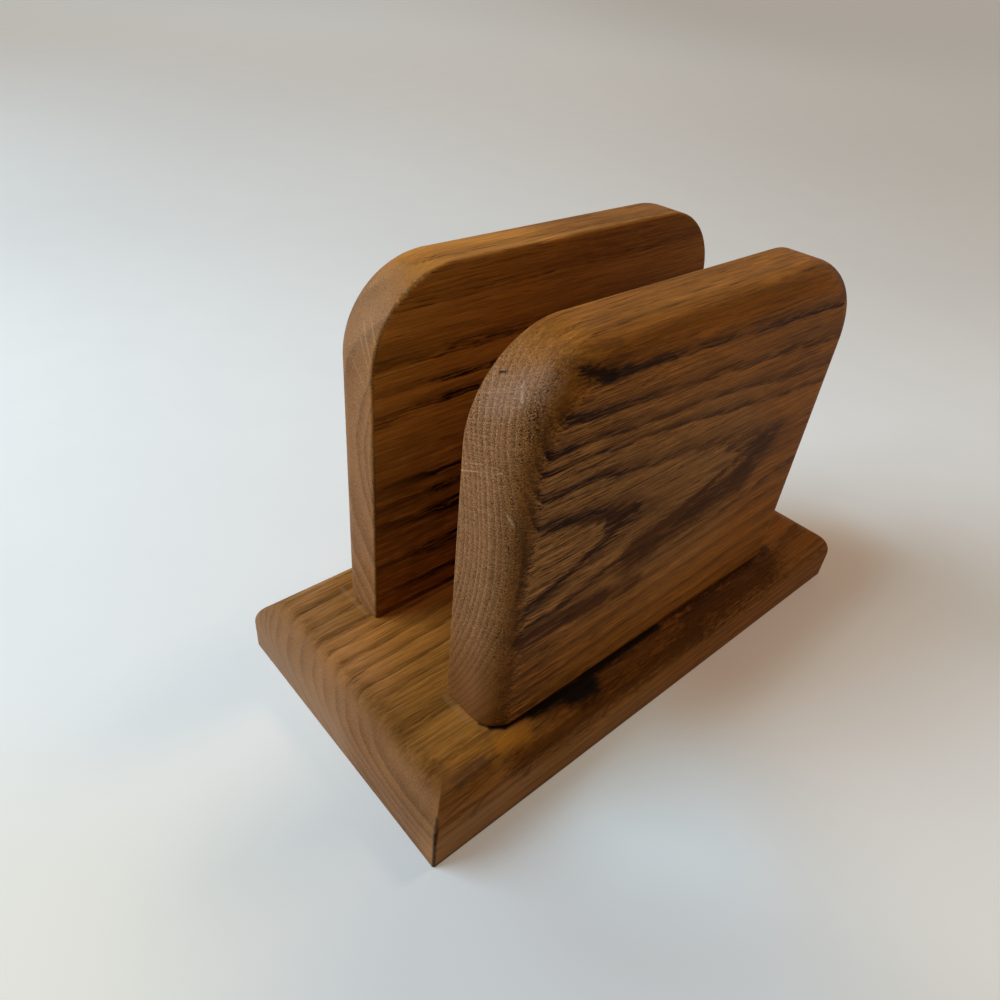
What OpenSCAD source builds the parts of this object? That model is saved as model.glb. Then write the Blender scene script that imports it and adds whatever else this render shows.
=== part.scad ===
// Napkin holder: two upright oak boards standing on an oak base board.
// The origin is the centre of the underside. +X runs along the grain,
// -Y faces the front upright and +Z is up.

/* [Base board] */
// Length of the base board, along the grain
base_l = 178; // [150:1:240]
// Width of the base board
base_w = 89; // [78:1:130]
// Thickness of the base board
base_t = 19; // [15:0.5:25]
// Radius routed along all four top edges of the base board
base_round = 9.5; // [2:0.5:10]

/* [Uprights] */
// Length of each upright, along the grain
upright_l = 126; // [100:1:140]
// Height of each upright above the base board
upright_h = 101; // [60:1:150]
// Thickness of each upright
upright_t = 18; // [14:0.5:20]
// Width of the slot that the napkins stand in
slot_w = 32.5; // [16:0.5:38]
// Distance that both uprights stand off centre, towards the left end
upright_shift = 1.2; // [0:0.1:6]
// Radius of the two upper corners of each upright
corner_r = 24; // [14:1:40]
// Radius routed along the outer edge of each upright
outer_round = 8; // [3:0.5:12]
// Radius sanded onto the inner edge of each upright
inner_ease = 1; // [0.3:0.1:2]

/* [Screws] */
// Length of each countersunk wood screw
screw_l = 38; // [30:1:60]
// Distance between the two screws of one upright
screw_pitch = 76; // [40:1:96]
// Diameter of the screw head
head_d = 8.4; // [7:0.1:10]
// Height of the tapered screw head
head_h = 2.8; // [2:0.1:4]
// Height of the straight rim of the screw head
head_rim_h = 0.4; // [0.2:0.1:0.8]
// Diameter of the plain shank under the head
shank_d = 4.2; // [3.5:0.1:5]
// Length of the head and plain shank together
shank_l = 15; // [8:0.5:18]
// Diameter of the threaded part at the root of its thread
root_d = 3; // [2:0.1:3.4]
// Length of the screw's pointed tip
tip_l = 5; // [2:0.5:8]
// Depth that the screw head lies below the underside
head_sink = 0.6; // [0:0.1:2]
// Width of each slot of the cross recess
drive_w = 1.2; // [0.8:0.1:1.6]
// Length of each slot of the cross recess
drive_l = 4.6; // [3:0.1:6]
// Depth of the cross recess
drive_depth = 1.8; // [0.8:0.1:2.2]

/* [Clearances] */
// Gap between a screw head and its countersink
seat_gap = 0.05; // [0:0.01:0.2]
// Gap round the shank in the hole through the base board
shank_gap = 0.25; // [0.1:0.05:0.5]
// Gap round the threaded part in its pilot hole
pilot_gap = 0.05; // [0:0.01:0.2]
// Room left beyond the tip of the screw
pilot_spare = 2; // [0.5:0.5:5]

/* [Hidden] */
$fn = 96;
// Quarter of a turn, swept by each rounded upper corner
quarter = 90;
// Overrun of every cut past the face that it opens
cut = 1;
// Height of an upright's straight sides, below its rounded corners
side_h = upright_h - corner_r;
// Half the length of an upright's straight top
top_half = upright_l / 2 - corner_r;
// Distance from the middle of the slot to the middle of an upright
upright_mid = slot_w / 2 + upright_t / 2;
// Depth of a pilot hole above the top of the base board
pilot_depth = screw_l + head_sink - base_t + pilot_spare;
// Height of the cone that a countersink follows under the rim
cone_h = head_h - head_rim_h;
// Length over which the shank narrows to the root of the thread
neck_l = (shank_d - root_d) / 2;

// A board's end outline: square below, with both top corners rounded.
module board_outline(length) {
    translate([-length / 2, 0])
        square([length, base_t - base_round]);
    translate([base_round - length / 2, 0])
        square([length - 2 * base_round, base_t]);
    for (side = [-1, 1])
        translate([side * (length / 2 - base_round), base_t - base_round])
            circle(r = base_round);
}

// A board of one outline, running the given width along Y.
module board_run(length, width) {
    translate([0, width / 2, 0])
        rotate([quarter, 0, 0])
            linear_extrude(height = width)
                board_outline(length);
}

// The section across an upright's edge. X is the depth in from the edge,
// and Y goes from the inner face to the outer face.
module edge_section(depth) {
    middle = upright_t - inner_ease - outer_round;
    translate([inner_ease, 0])
        square([depth - inner_ease, inner_ease]);
    translate([0, inner_ease])
        square([depth, middle]);
    translate([outer_round, inner_ease])
        square([depth - outer_round, upright_t - inner_ease]);
    translate([inner_ease, inner_ease])
        circle(r = inner_ease);
    intersection() {
        translate([outer_round, upright_t - outer_round])
            circle(r = outer_round);
        square([depth, upright_t]);
    }
}

// A straight stretch of an upright's edge, running along Y.
module edge_run(length, depth) {
    translate([0, length, 0])
        rotate([quarter, 0, 0])
            linear_extrude(height = length)
                edge_section(depth);
}

// A rounded upper corner: the edge section, trimmed at the corner's centre,
// swept a quarter of a turn about it.
module edge_corner() {
    rotate([0, 0, quarter])
        rotate_extrude(angle = quarter)
            intersection() {
                translate([corner_r, 0])
                    mirror([1, 0])
                        edge_section(corner_r + cut);
                square([corner_r, upright_t]);
            }
}

// An upright lying on its inner face, with its foot along the X axis.
module upright_flat() {
    for (side = [0, 1])
        mirror([side, 0, 0]) {
            translate([-upright_l / 2, 0, 0])
                edge_run(side_h, upright_l / 2);
            translate([-top_half, side_h, 0])
                edge_corner();
        }
    translate([-top_half, upright_h, 0])
        rotate([0, 0, -quarter])
            edge_run(2 * top_half, corner_r);
}

// Places its children over each screw of one upright, on the underside.
module at_screws(side) {
    for (end = [-1, 1])
        at_screw(side, end)
            children();
}

// Places its children at one screw: side is -1 at the front, end -1 at the left.
module at_screw(side, end) {
    translate([end * screw_pitch / 2 - upright_shift, side * upright_mid, 0])
        children();
}

// The hole for one screw through the base board, countersunk from below.
module screw_hole() {
    rim_r = head_d / 2 + seat_gap;
    hole_r = shank_d / 2 + shank_gap;
    slope_h = cone_h * (rim_r - hole_r) / (head_d / 2 - shank_d / 2);
    rim_top = head_sink + head_rim_h;
    translate([0, 0, -cut])
        cylinder(r = hole_r, h = base_t + 2 * cut);
    translate([0, 0, -cut])
        cylinder(r = rim_r, h = rim_top + cut);
    translate([0, 0, rim_top])
        cylinder(r1 = rim_r, r2 = hole_r, h = slope_h);
}

// The pilot hole for one screw in the foot of an upright, with a drilled point.
module pilot_hole() {
    pilot_r = root_d / 2 + pilot_gap;
    shank_top = head_sink + shank_l + neck_l;
    entry_h = max(shank_top - base_t, 0);
    translate([0, 0, base_t - cut])
        cylinder(r = pilot_r, h = pilot_depth + cut);
    translate([0, 0, base_t + pilot_depth])
        cylinder(r1 = pilot_r, r2 = 0, h = pilot_r);
    if (entry_h > 0)
        translate([0, 0, base_t - cut])
            cylinder(r = shank_d / 2 + shank_gap, h = entry_h + cut);
}

// One countersunk wood screw, point up, its head face below the underside.
module screw() {
    color("silver")
        translate([0, 0, head_sink])
            difference() {
                rotate_extrude()
                    polygon([
                        [0, 0],
                        [head_d / 2, 0],
                        [head_d / 2, head_rim_h],
                        [shank_d / 2, head_h],
                        [shank_d / 2, shank_l],
                        [root_d / 2, shank_l + neck_l],
                        [root_d / 2, screw_l - tip_l],
                        [0, screw_l]
                    ]);
                for (turn = [0, quarter])
                    rotate([0, 0, turn])
                        translate([-drive_l / 2, -drive_w / 2, -cut])
                            cube([drive_l, drive_w, drive_depth + cut]);
            }
}

module base_board() {
    color("peru")
        difference() {
            intersection() {
                board_run(base_l, base_w);
                rotate([0, 0, quarter])
                    board_run(base_w, base_l);
            }
            for (side = [-1, 1])
                at_screws(side)
                    screw_hole();
        }
}

// An upright in place: side is -1 for the front one and 1 for the rear one.
module upright(side) {
    difference() {
        translate([-upright_shift, side * slot_w / 2, base_t])
            mirror([0, (side + 1) / 2, 0])
                rotate([quarter, 0, 0])
                    upright_flat();
        at_screws(side)
            pilot_hole();
    }
}

module front_upright() {
    color("sienna")
        upright(-1);
}

module rear_upright() {
    color("saddlebrown")
        upright(1);
}

module front_screw_left() {
    at_screw(-1, -1)
        screw();
}

module front_screw_right() {
    at_screw(-1, 1)
        screw();
}

module rear_screw_left() {
    at_screw(1, -1)
        screw();
}

module rear_screw_right() {
    at_screw(1, 1)
        screw();
}

base_board();
front_upright();
rear_upright();
front_screw_left();
front_screw_right();
rear_screw_left();
rear_screw_right();
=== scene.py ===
"""Dresses an oak napkin holder: two round-cornered uprights screwed to a base.

Every length of the holder is in millimetres until it goes into a mesh, and
every length of the studio is in metres. X runs along the grain, the front
upright faces -Y and Z is up from the underside.
"""

import logging
import math
from dataclasses import dataclass
from enum import Enum
from typing import Callable, Sequence

import bmesh
import bpy
import numpy as np
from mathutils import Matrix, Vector


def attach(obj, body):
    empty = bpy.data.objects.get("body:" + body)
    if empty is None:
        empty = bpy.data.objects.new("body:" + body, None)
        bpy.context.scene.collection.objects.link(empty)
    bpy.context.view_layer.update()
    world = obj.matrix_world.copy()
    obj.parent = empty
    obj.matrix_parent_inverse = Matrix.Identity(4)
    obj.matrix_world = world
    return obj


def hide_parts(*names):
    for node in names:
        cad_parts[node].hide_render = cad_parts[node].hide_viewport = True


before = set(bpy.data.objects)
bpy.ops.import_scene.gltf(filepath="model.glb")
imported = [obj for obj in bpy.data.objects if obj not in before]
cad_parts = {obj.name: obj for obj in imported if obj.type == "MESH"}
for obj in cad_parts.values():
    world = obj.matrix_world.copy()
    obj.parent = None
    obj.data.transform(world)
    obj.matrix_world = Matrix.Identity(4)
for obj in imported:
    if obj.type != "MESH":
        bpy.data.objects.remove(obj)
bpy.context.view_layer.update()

# One millimetre in metres.
MM = 0.001
# Points this near are welded, and edges this short are dropped, in mm.
WELD = 0.002
SLIVER = 0.001
# Edges that turn by more than this stay sharp.
SHARP_ANGLE = math.radians(35)
# The distance from the pith at which places round it are measured, in mm.
ARC_RADIUS = 60.0
# The body of the frame that every piece rides on.
BODY = "root"
LOG = logging.getLogger("napkin_holder")

Point = tuple[float, float, float]
Place = tuple[float, float]
Hue = tuple[float, float, float]
Colour = tuple[float, float, float, float]
Effects = dict[str, bpy.types.NodeTree]


def linear(red: int, green: int, blue: int) -> Colour:
    """Turns a screen colour into the linear colour that a shader reads.

    Dark parts are divided by 12.92, and others raised to the power 2.4.

    Args:
        red, green, blue: the screen colour, 0 to 255.

    Returns:
        Linear red, green, blue and an alpha of 1.
    """
    parts = np.array([red, green, blue]) / 255.0
    low = parts / 12.92
    high = ((parts + 0.055) / 1.055) ** 2.4
    return (*np.where(parts <= 0.04045, low, high).tolist(), 1.0)


class Side(Enum):
    """Which upright a board is, and the sign of the way that it faces."""

    FRONT = -1
    REAR = 1


# Shader values and graphs


def sum_method(operation: str, swapped: bool = False) -> Callable[["Value", "Term"], "Value"]:
    """Makes a method that adds one sum of a value and another term.

    Args:
        operation: the kind of sum.
        swapped: whether the other term comes first.

    Returns:
        The method.
    """
    def method(self: "Value", other: "Term") -> "Value":
        """Returns the result of the sum."""
        terms = (other, self) if swapped else (self, other)
        return self.graph.math(operation, *terms)

    return method


class Value:
    """One number of a shader graph, which adds and multiplies like a number."""

    def __init__(self, graph: "Graph", socket: bpy.types.NodeSocket) -> None:
        """Keeps the socket that gives the number, and the graph it is in."""
        self.graph = graph
        self.socket = socket

    __add__ = sum_method("ADD")
    __radd__ = sum_method("ADD", swapped=True)
    __mul__ = sum_method("MULTIPLY")
    __rmul__ = sum_method("MULTIPLY", swapped=True)
    __sub__ = sum_method("SUBTRACT")
    __rsub__ = sum_method("SUBTRACT", swapped=True)
    __truediv__ = sum_method("DIVIDE")
    at_least = sum_method("MAXIMUM")
    at_most = sum_method("MINIMUM")
    power = sum_method("POWER")

    def size(self) -> "Value":
        """Returns the value without its sign."""
        return self.graph.math("ABSOLUTE", self)

    def step(self, start: "Term", end: "Term") -> "Value":
        """Eases from 0 at start to 1 at end, and may run downwards.

        Args:
            start: the value that gives 0.
            end: the value that gives 1.

        Returns:
            The eased value, never under 0 or over 1.
        """
        ranged = self.graph.add("ShaderNodeMapRange", interpolation_type="SMOOTHSTEP")
        self.graph.join(self, ranged.inputs["Value"])
        self.graph.join(start, ranged.inputs["From Min"])
        self.graph.join(end, ranged.inputs["From Max"])
        return Value(self.graph, ranged.outputs["Result"])


Term = Value | float | int


class Graph:
    """Adds nodes to one shader tree and joins them."""

    def __init__(self, tree: bpy.types.NodeTree) -> None:
        """Starts on an emptied tree."""
        self.tree = tree
        tree.nodes.clear()

    def add(self, kind: str, **settings: object) -> bpy.types.Node:
        """Adds one node.

        Args:
            kind: Blender's name for the kind of node.
            settings: the node's settings by name.

        Returns:
            The node.
        """
        node = self.tree.nodes.new(kind)
        for name, value in settings.items():
            setattr(node, name, value)
        return node

    def join(self, term: object, socket: bpy.types.NodeSocket) -> None:
        """Puts a value, a socket or a constant into a socket.

        Args:
            term: a Value, an output socket, a number or a tuple.
            socket: the input that takes it.
        """
        if isinstance(term, Value):
            self.tree.links.new(term.socket, socket)
        elif isinstance(term, bpy.types.NodeSocket):
            self.tree.links.new(term, socket)
        else:
            socket.default_value = term

    def math(self, operation: str, *terms: Term) -> Value:
        """Adds one sum.

        Args:
            operation: Blender's name for the kind of sum.
            terms: what goes into it, in order.

        Returns:
            The result.
        """
        node = self.add("ShaderNodeMath", operation=operation)
        for term, socket in zip(terms, node.inputs):
            self.join(term, socket)
        return Value(self, node.outputs[0])

    def split(self, vector: bpy.types.NodeSocket) -> tuple[Value, Value, Value]:
        """Takes a vector apart.

        Args:
            vector: the vector.

        Returns:
            Its three parts.
        """
        node = self.add("ShaderNodeSeparateXYZ")
        self.join(vector, node.inputs[0])
        return tuple(Value(self, part) for part in node.outputs)

    def vector(self, x: Term, y: Term, z: Term) -> bpy.types.NodeSocket:
        """Joins three values into a vector.

        Args:
            x, y, z: the values.

        Returns:
            The vector.
        """
        node = self.add("ShaderNodeCombineXYZ")
        for term, socket in zip((x, y, z), node.inputs):
            self.join(term, socket)
        return node.outputs[0]

    def noise(self, place: bpy.types.NodeSocket, detail: float = 2.0,
              roughness: float = 0.5) -> bpy.types.Node:
        """Adds a soft noise of unit size at a place, mostly from 0.25 to 0.75.

        Args:
            place: the point that is looked up, already scaled.
            detail: how many finer layers are added.
            roughness: how strong each finer layer is.

        Returns:
            The noise node, with its Fac and Color outputs.
        """
        node = self.add("ShaderNodeTexNoise", noise_dimensions="3D")
        self.join(place, node.inputs["Vector"])
        node.inputs["Scale"].default_value = 1.0
        node.inputs["Detail"].default_value = detail
        node.inputs["Roughness"].default_value = roughness
        return node

    def noise_value(self, place: bpy.types.NodeSocket, detail: float = 2.0,
                    roughness: float = 0.5) -> Value:
        """Returns the plain value of a noise."""
        return Value(self, self.noise(place, detail, roughness).outputs["Fac"])

    def cells(self, place: bpy.types.NodeSocket, flat: bool = False) -> tuple[Value, Value]:
        """Scatters one point in each unit cell.

        Args:
            place: the point that is looked up, already scaled.
            flat: whether the cells are columns that run along the third axis.

        Returns:
            The distance to the nearest point, and a random number of its own.
        """
        node = self.add("ShaderNodeTexVoronoi", voronoi_dimensions="2D" if flat else "3D",
                        feature="F1")
        self.join(place, node.inputs["Vector"])
        node.inputs["Scale"].default_value = 1.0
        chance = self.split(node.outputs["Color"])[0]
        return Value(self, node.outputs["Distance"]), chance

    def chance(self, number: Term) -> Value:
        """Draws a random number, from 0 to 1, that depends only on another number.

        Args:
            number: the number that it depends on.

        Returns:
            The random number.
        """
        node = self.add("ShaderNodeTexWhiteNoise", noise_dimensions="1D")
        self.join(number, node.inputs["W"])
        return Value(self, node.outputs["Value"])

    def mix(self, amount: Term, first: object, second: object,
            blend: str = "MIX") -> bpy.types.NodeSocket:
        """Mixes two colours.

        Args:
            amount: how much of the second colour there is, 0 to 1.
            first: the colour at 0.
            second: the colour at 1.
            blend: how the second is laid over the first.

        Returns:
            The mixed colour.
        """
        # The node's colour sockets are inputs 6 and 7 and output 2.
        node = self.add("ShaderNodeMix", data_type="RGBA", blend_type=blend)
        self.join(amount, node.inputs[0])
        self.join(first, node.inputs[6])
        self.join(second, node.inputs[7])
        return node.outputs[2]

    def fill(self, node: bpy.types.Node, inputs: dict[str, object]) -> bpy.types.Node:
        """Sets a node's inputs.

        Args:
            node: the node.
            inputs: what goes into each input, by name, with _ for a space.

        Returns:
            The same node.
        """
        for name, term in inputs.items():
            self.join(term, node.inputs[name.replace("_", " ")])
        return node

    def group(self, tree: bpy.types.NodeTree, **inputs: object) -> bpy.types.Node:
        """Places a node group and sets its inputs."""
        return self.fill(self.add("ShaderNodeGroup", node_tree=tree), inputs)

    def surface(self, height: Term | None = None, **inputs: object) -> bpy.types.NodeSocket:
        """Adds a Principled surface.

        Args:
            height: relief in mm, which a bump turns into the normal.
            inputs: the surface's other inputs.

        Returns:
            The surface.
        """
        if height is not None:
            bump = self.fill(self.add("ShaderNodeBump"), {"Distance": MM, "Height": height})
            inputs["Normal"] = bump.outputs["Normal"]
        return self.fill(self.add("ShaderNodeBsdfPrincipled"), inputs).outputs["BSDF"]

    def show(self, surface: bpy.types.NodeSocket) -> None:
        """Sends a surface to the material's output."""
        self.fill(self.add("ShaderNodeOutputMaterial"), {"Surface": surface})


def new_material(name: str) -> tuple[bpy.types.Material, Graph]:
    """Makes an empty material.

    Args:
        name: the material's name.

    Returns:
        The material and the graph of its nodes.
    """
    material = bpy.data.materials.new(name)
    material.use_nodes = True
    return material, Graph(material.node_tree)


class Effect:
    """A shader node group with named inputs and outputs."""

    def __init__(self, name: str, inputs: dict[str, str], outputs: dict[str, str]) -> None:
        """Opens the group with its sockets.

        Args:
            name: the group's name.
            inputs: each input's name and its socket kind.
            outputs: each output's name and its socket kind.
        """
        self.tree = bpy.data.node_groups.new(name, "ShaderNodeTree")
        self.graph = Graph(self.tree)
        for where, sockets in (("INPUT", inputs), ("OUTPUT", outputs)):
            for label, kind in sockets.items():
                self.tree.interface.new_socket(name=label, in_out=where,
                                               socket_type="NodeSocket" + kind)
        self.entry = self.graph.add("NodeGroupInput")
        self.exit = self.graph.add("NodeGroupOutput")

    def value(self, name: str) -> Value:
        """Returns one numeric input."""
        return Value(self.graph, self.entry.outputs[name])

    def socket(self, name: str) -> bpy.types.NodeSocket:
        """Returns one input as a plain socket."""
        return self.entry.outputs[name]

    def give(self, name: str, term: object) -> None:
        """Sets one output."""
        self.graph.join(term, self.exit.inputs[name])


def make_trunk_effect() -> bpy.types.NodeTree:
    """Finds where a point of a board lay in the trunk.

    The pith is a line that drifts off along X. Radius is the distance to it
    and Around the arc length at a fixed distance from it, both after the point
    has been shifted by two soft noises drawn out along the grain.

    Returns:
        The node group.
    """
    effect = Effect(
        "Trunk",
        {"Point": "Vector", "Pith Y": "Float", "Pith Z": "Float", "Drift Y": "Float",
         "Drift Z": "Float", "Out Y": "Float", "Out Z": "Float", "Wander": "Float",
         "Calm": "Float", "Seed": "Float"},
        {"Radius": "Float", "Around": "Float", "Grain Point": "Vector"},
    )
    graph = effect.graph
    x, y, z = graph.split(effect.socket("Point"))
    seed = effect.value("Seed")
    wide = graph.noise(graph.vector(x * 0.014 + seed, y * 0.05, z * 0.05 + seed), 1.0)
    fine = graph.noise(graph.vector(x * 0.09, y * 0.3 + seed, z * 0.3), 2.0)
    wide_y, wide_z, _ = graph.split(wide.outputs["Color"])
    fine_y, fine_z, _ = graph.split(fine.outputs["Color"])
    wander, calm = effect.value("Wander"), effect.value("Calm")
    grain_y = y + ((wide_y - 0.5) * wander + (fine_y - 0.5) * 0.9) * calm
    grain_z = z + (wide_z - 0.5) * wander + (fine_z - 0.5) * 0.9
    off_y = grain_y - (effect.value("Pith Y") + effect.value("Drift Y") * x)
    off_z = grain_z - (effect.value("Pith Z") + effect.value("Drift Z") * x)
    plain_y = off_y - (fine_y - 0.5) * 0.8
    plain_z = off_z - (fine_z - 0.5) * 0.8
    ahead = plain_y * effect.value("Out Y") + plain_z * effect.value("Out Z")
    aside = plain_z * effect.value("Out Y") - plain_y * effect.value("Out Z")
    effect.give("Radius", (off_y * off_y + off_z * off_z).power(0.5))
    effect.give("Around", graph.math("ARCTAN2", aside, ahead) * ARC_RADIUS)
    effect.give("Grain Point", graph.vector(x, grain_y, grain_z))
    return effect.tree


def scatter_pores(graph: Graph, x: Value, y: Value, z: Value, core: Value) -> Value:
    """Scatters oak's open pores, drawn out along the grain.

    Args:
        graph: the graph of the effect.
        x, y, z: the point in the trunk.
        core: 1 in the dark band where a ring starts.

    Returns:
        How open the wood is: wide pores crowd the band, small ones lie everywhere.
    """
    gap, _ = graph.cells(graph.vector(x * 0.07, y * 2.0, z * 2.0))
    wide = gap.step(0.36, 0.22) * core
    gap, draw = graph.cells(graph.vector(x * 0.045 + 7.0, y * 1.9, z * 1.9))
    small = gap.step(0.27, 0.12) * draw.step(0.85, 0.65)
    return (wide + small * 0.75).at_most(1.0)


def spread_rays(graph: Graph, x: Value, around: Value, radius: Value, seed: Value) -> Value:
    """Spreads oak's rays: thin sheets at random turns about the pith, broken along X.

    Args:
        graph: the graph of the effect.
        x: the place along the grain.
        around: the place round the pith.
        radius: the distance to the pith.
        seed: the board's own number.

    Returns:
        1 on a ray and 0 between them.
    """
    sheet = graph.add("ShaderNodeTexVoronoi", voronoi_dimensions="1D", feature="F1")
    graph.join(around * 1.7 + seed, sheet.inputs["W"])
    sheet.inputs["Scale"].default_value = 1.0
    own = graph.split(sheet.outputs["Color"])[0]
    broken = graph.noise_value(graph.vector(x * 0.09 + own * 90.0, radius * 0.25, own * 40.0), 1.0)
    return Value(graph, sheet.outputs["Distance"]).step(0.16, 0.04) * broken.step(0.46, 0.56)


def make_oak_effect() -> bpy.types.NodeTree:
    """Draws ring-porous oak from the place of a point in the trunk.

    Face is 1 where the surface runs along the grain and End where it cuts
    straight across; Slant is 1 in between. Along the grain, each ring starts
    with a dark, clumped band of wide pores and pales outwards, and fine pores
    and rays show as thin dark lines. Across the grain the wood is duller, with
    light specks in rows along the rings, light rays that run out from the pith
    and dark pore dots. Where it slants the wood drinks more stain. Hatch adds
    short dark strokes along the grain, and Shade darkens the wood, both in its
    figure and as painted shade. Worn bares the wood on rubbed edges and lays
    painted light and shade on surfaces that look up.

    Returns:
        The node group.
    """
    effect = Effect(
        "Ring-porous oak",
        {"Point": "Vector", "Radius": "Float", "Around": "Float", "Rings": "Float",
         "Face": "Float", "End": "Float", "Slant": "Float", "Shade": "Float", "Seed": "Float",
         "Line": "Float", "Fine": "Float", "Hatch": "Float", "Rows": "Float", "Worn": "Float",
         "Pale": "Color", "Dark": "Color", "Pore": "Color", "Sawn": "Color",
         "Fleck": "Color", "Bare": "Color"},
        {"Color": "Color", "Roughness": "Float", "Height": "Float"},
    )
    graph = effect.graph
    x, y, z = graph.split(effect.socket("Point"))
    rings, seed, line = effect.value("Rings"), effect.value("Seed"), effect.value("Line")
    phase = graph.math("FRACT", rings)
    number = graph.math("FLOOR", rings)
    face, end, slant = effect.value("Face"), effect.value("End"), effect.value("Slant")

    # The dark band: sharp where the ring starts, made of short dark dashes.
    clump = graph.noise_value(graph.vector(x * 0.085 + seed, y * 0.7, z * 0.7), 3.0, 0.62)
    dash = graph.noise_value(graph.vector(x * 0.13, y * 2.3 + seed, z * 2.3), 3.0, 0.6)
    strength = graph.chance(number + seed) * 0.35 + 0.65
    core = phase.step(line * 0.16 + 0.3, 0.1).at_least(phase.step(0.93, 1.0))
    band = core * (clump + line * 0.05).step(0.4, 0.57) * strength * line
    band = band * (dash.step(0.4, 0.56) * 0.65 + 0.35)
    fade = phase.step(0.8, 0.1) * strength
    shade = effect.value("Shade") * (clump.step(0.3, 0.6) * 0.55 + 0.45) * (1.0 - end * 0.9)

    # Fibres, fine dark lines and slow changes of tone.
    fibre = graph.noise_value(graph.vector(x * 0.03, y * 1.5 + seed, z * 1.5), 4.0, 0.7)
    lines = graph.noise_value(graph.vector(x * 0.03 + seed, y * 2.9, z * 2.9), 3.0, 0.6)
    lines = lines.step(0.5, 0.6) * (clump.step(0.35, 0.6) * 0.6 + 0.4)
    hatch = graph.noise_value(graph.vector(x * 0.15, y * 4.6, z * 4.6 + seed), 2.0, 0.6)
    hatch = hatch.step(0.52, 0.6) * effect.value("Hatch") * face
    slow = graph.noise_value(graph.vector(x * 0.02 + seed, y * 0.07, z * 0.07), 2.0)
    grit = graph.noise_value(graph.vector(x * 0.6, y * 3.8, z * 3.8 + seed), 2.0, 0.6)
    tone = (fibre - 0.5) * 1.8 * face + (slow - 0.5) * 0.6 + 1.0
    tone = tone + (grit - 0.5) * (end * 4.0 * effect.value("Rows") + slant)
    tone = tone - slant * 0.5 - phase.step(0.35, 0.95) * end * 0.3 + end * 0.07

    # Pores, rays, and the specks that show only across the grain.
    pores = scatter_pores(graph, x, y, z, core)
    ray = spread_rays(graph, x, effect.value("Around"), effect.value("Radius"), seed)
    gap, draw = graph.cells(graph.vector(y * 3.0, z * 3.0, 0.0), flat=True)
    speck = gap.step(0.5, 0.2) * (draw * 0.8 + 0.2)

    # The wood's own colour: paler outwards in each ring, bared, sawn and shaded.
    colour = graph.mix(fade * 0.4, effect.socket("Pale"), effect.socket("Dark"))
    colour = graph.mix(effect.value("Worn") * (1.0 - fade * 0.3), colour, effect.socket("Bare"))
    sawn = end * (0.9 - slant * 0.45) * (1.0 - effect.value("Worn") * 0.5)
    colour = graph.mix(sawn, colour, effect.socket("Sawn"))
    colour = graph.mix(shade, colour, effect.socket("Dark"))
    colour = graph.mix(1.0, colour, graph.vector(tone, tone, tone), "MULTIPLY")

    # What is drawn on it: dark lines along the grain, light specks across it.
    dark = (band * (0.95 - slant * 0.5)).at_least((lines * effect.value("Fine")).at_most(0.85))
    dark = dark.at_least(hatch).at_least(pores * 0.7).at_least(ray * 0.4) * face
    colour = graph.mix(dark.at_least(pores * slant * 0.24), colour, effect.socket("Pore"))
    rows = phase.step(0.5, 0.1).at_least(phase.step(0.9, 1.0)) * strength
    light = (speck * (rows * 0.5 + 0.22)).at_least(ray * 0.24).at_least(rows * 0.08) * end
    light = light * effect.value("Rows")
    colour = graph.mix(light, colour, effect.socket("Fleck"))

    effect.give("Color", colour)
    effect.give("Roughness", 0.5 + pores * 0.2 + (fibre - 0.5) * 0.2)
    effect.give("Height", (fibre - 0.5) * 0.03 - dark * 0.06 + (grit + speck) * end * 0.03)
    return effect.tree


def make_mark_effect() -> bpy.types.NodeTree:
    """Marks a narrow line between two points, such as a scratch or a nick.

    The mask falls from 1 on the segment to 0 at Width from it, and Ragged
    breaks it up with a fine noise.

    Returns:
        The node group.
    """
    effect = Effect(
        "Mark",
        {"Point": "Vector", "Start": "Vector", "End": "Vector", "Width": "Float",
         "Ragged": "Float"},
        {"Mask": "Float"},
    )
    graph = effect.graph

    def vector_math(operation: str, first: object, second: object) -> bpy.types.Node:
        """Adds one sum of two vectors.

        Args:
            operation: Blender's name for the kind of sum.
            first, second: the vectors.

        Returns:
            The node, with the result as its vector or its value.
        """
        node = graph.add("ShaderNodeVectorMath", operation=operation)
        graph.join(first, node.inputs[0])
        graph.join(second, node.inputs[1])
        return node

    reach = vector_math("SUBTRACT", effect.socket("Point"), effect.socket("Start")).outputs[0]
    whole = vector_math("SUBTRACT", effect.socket("End"), effect.socket("Start")).outputs[0]
    share = Value(graph, vector_math("DOT_PRODUCT", reach, whole).outputs["Value"])
    total = Value(graph, vector_math("DOT_PRODUCT", whole, whole).outputs["Value"])
    share = (share / total).at_least(0.0).at_most(1.0)
    foot = vector_math("MULTIPLY", whole, graph.vector(share, share, share)).outputs[0]
    off = vector_math("DISTANCE", reach, foot).outputs["Value"]
    width = effect.value("Width")
    x, y, z = graph.split(effect.socket("Point"))
    patch = graph.noise_value(graph.vector(x * 0.35, y * 1.6, z * 1.6), 4.0, 0.7)
    push = (patch - 0.5) * effect.value("Ragged") * width * 3.0
    effect.give("Mask", (Value(graph, off) + push).step(width, width * 0.2))
    return effect.tree


# Finishes


@dataclass(frozen=True)
class Patch:
    """A stretch of a board where the colour differs, in the wood itself and in painted light and
    shade.

    It is full on the line from start to end and gone at width from it, and
    ragged breaks up its rim.
    """

    start: Point
    end: Point
    width: float
    amount: float
    ragged: float


@dataclass(frozen=True)
class Mark(Patch):
    """A scratch, scuff, nick, stain, painted shadow or painted highlight, with a colour of its
    own.
    """

    colour: Colour


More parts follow.
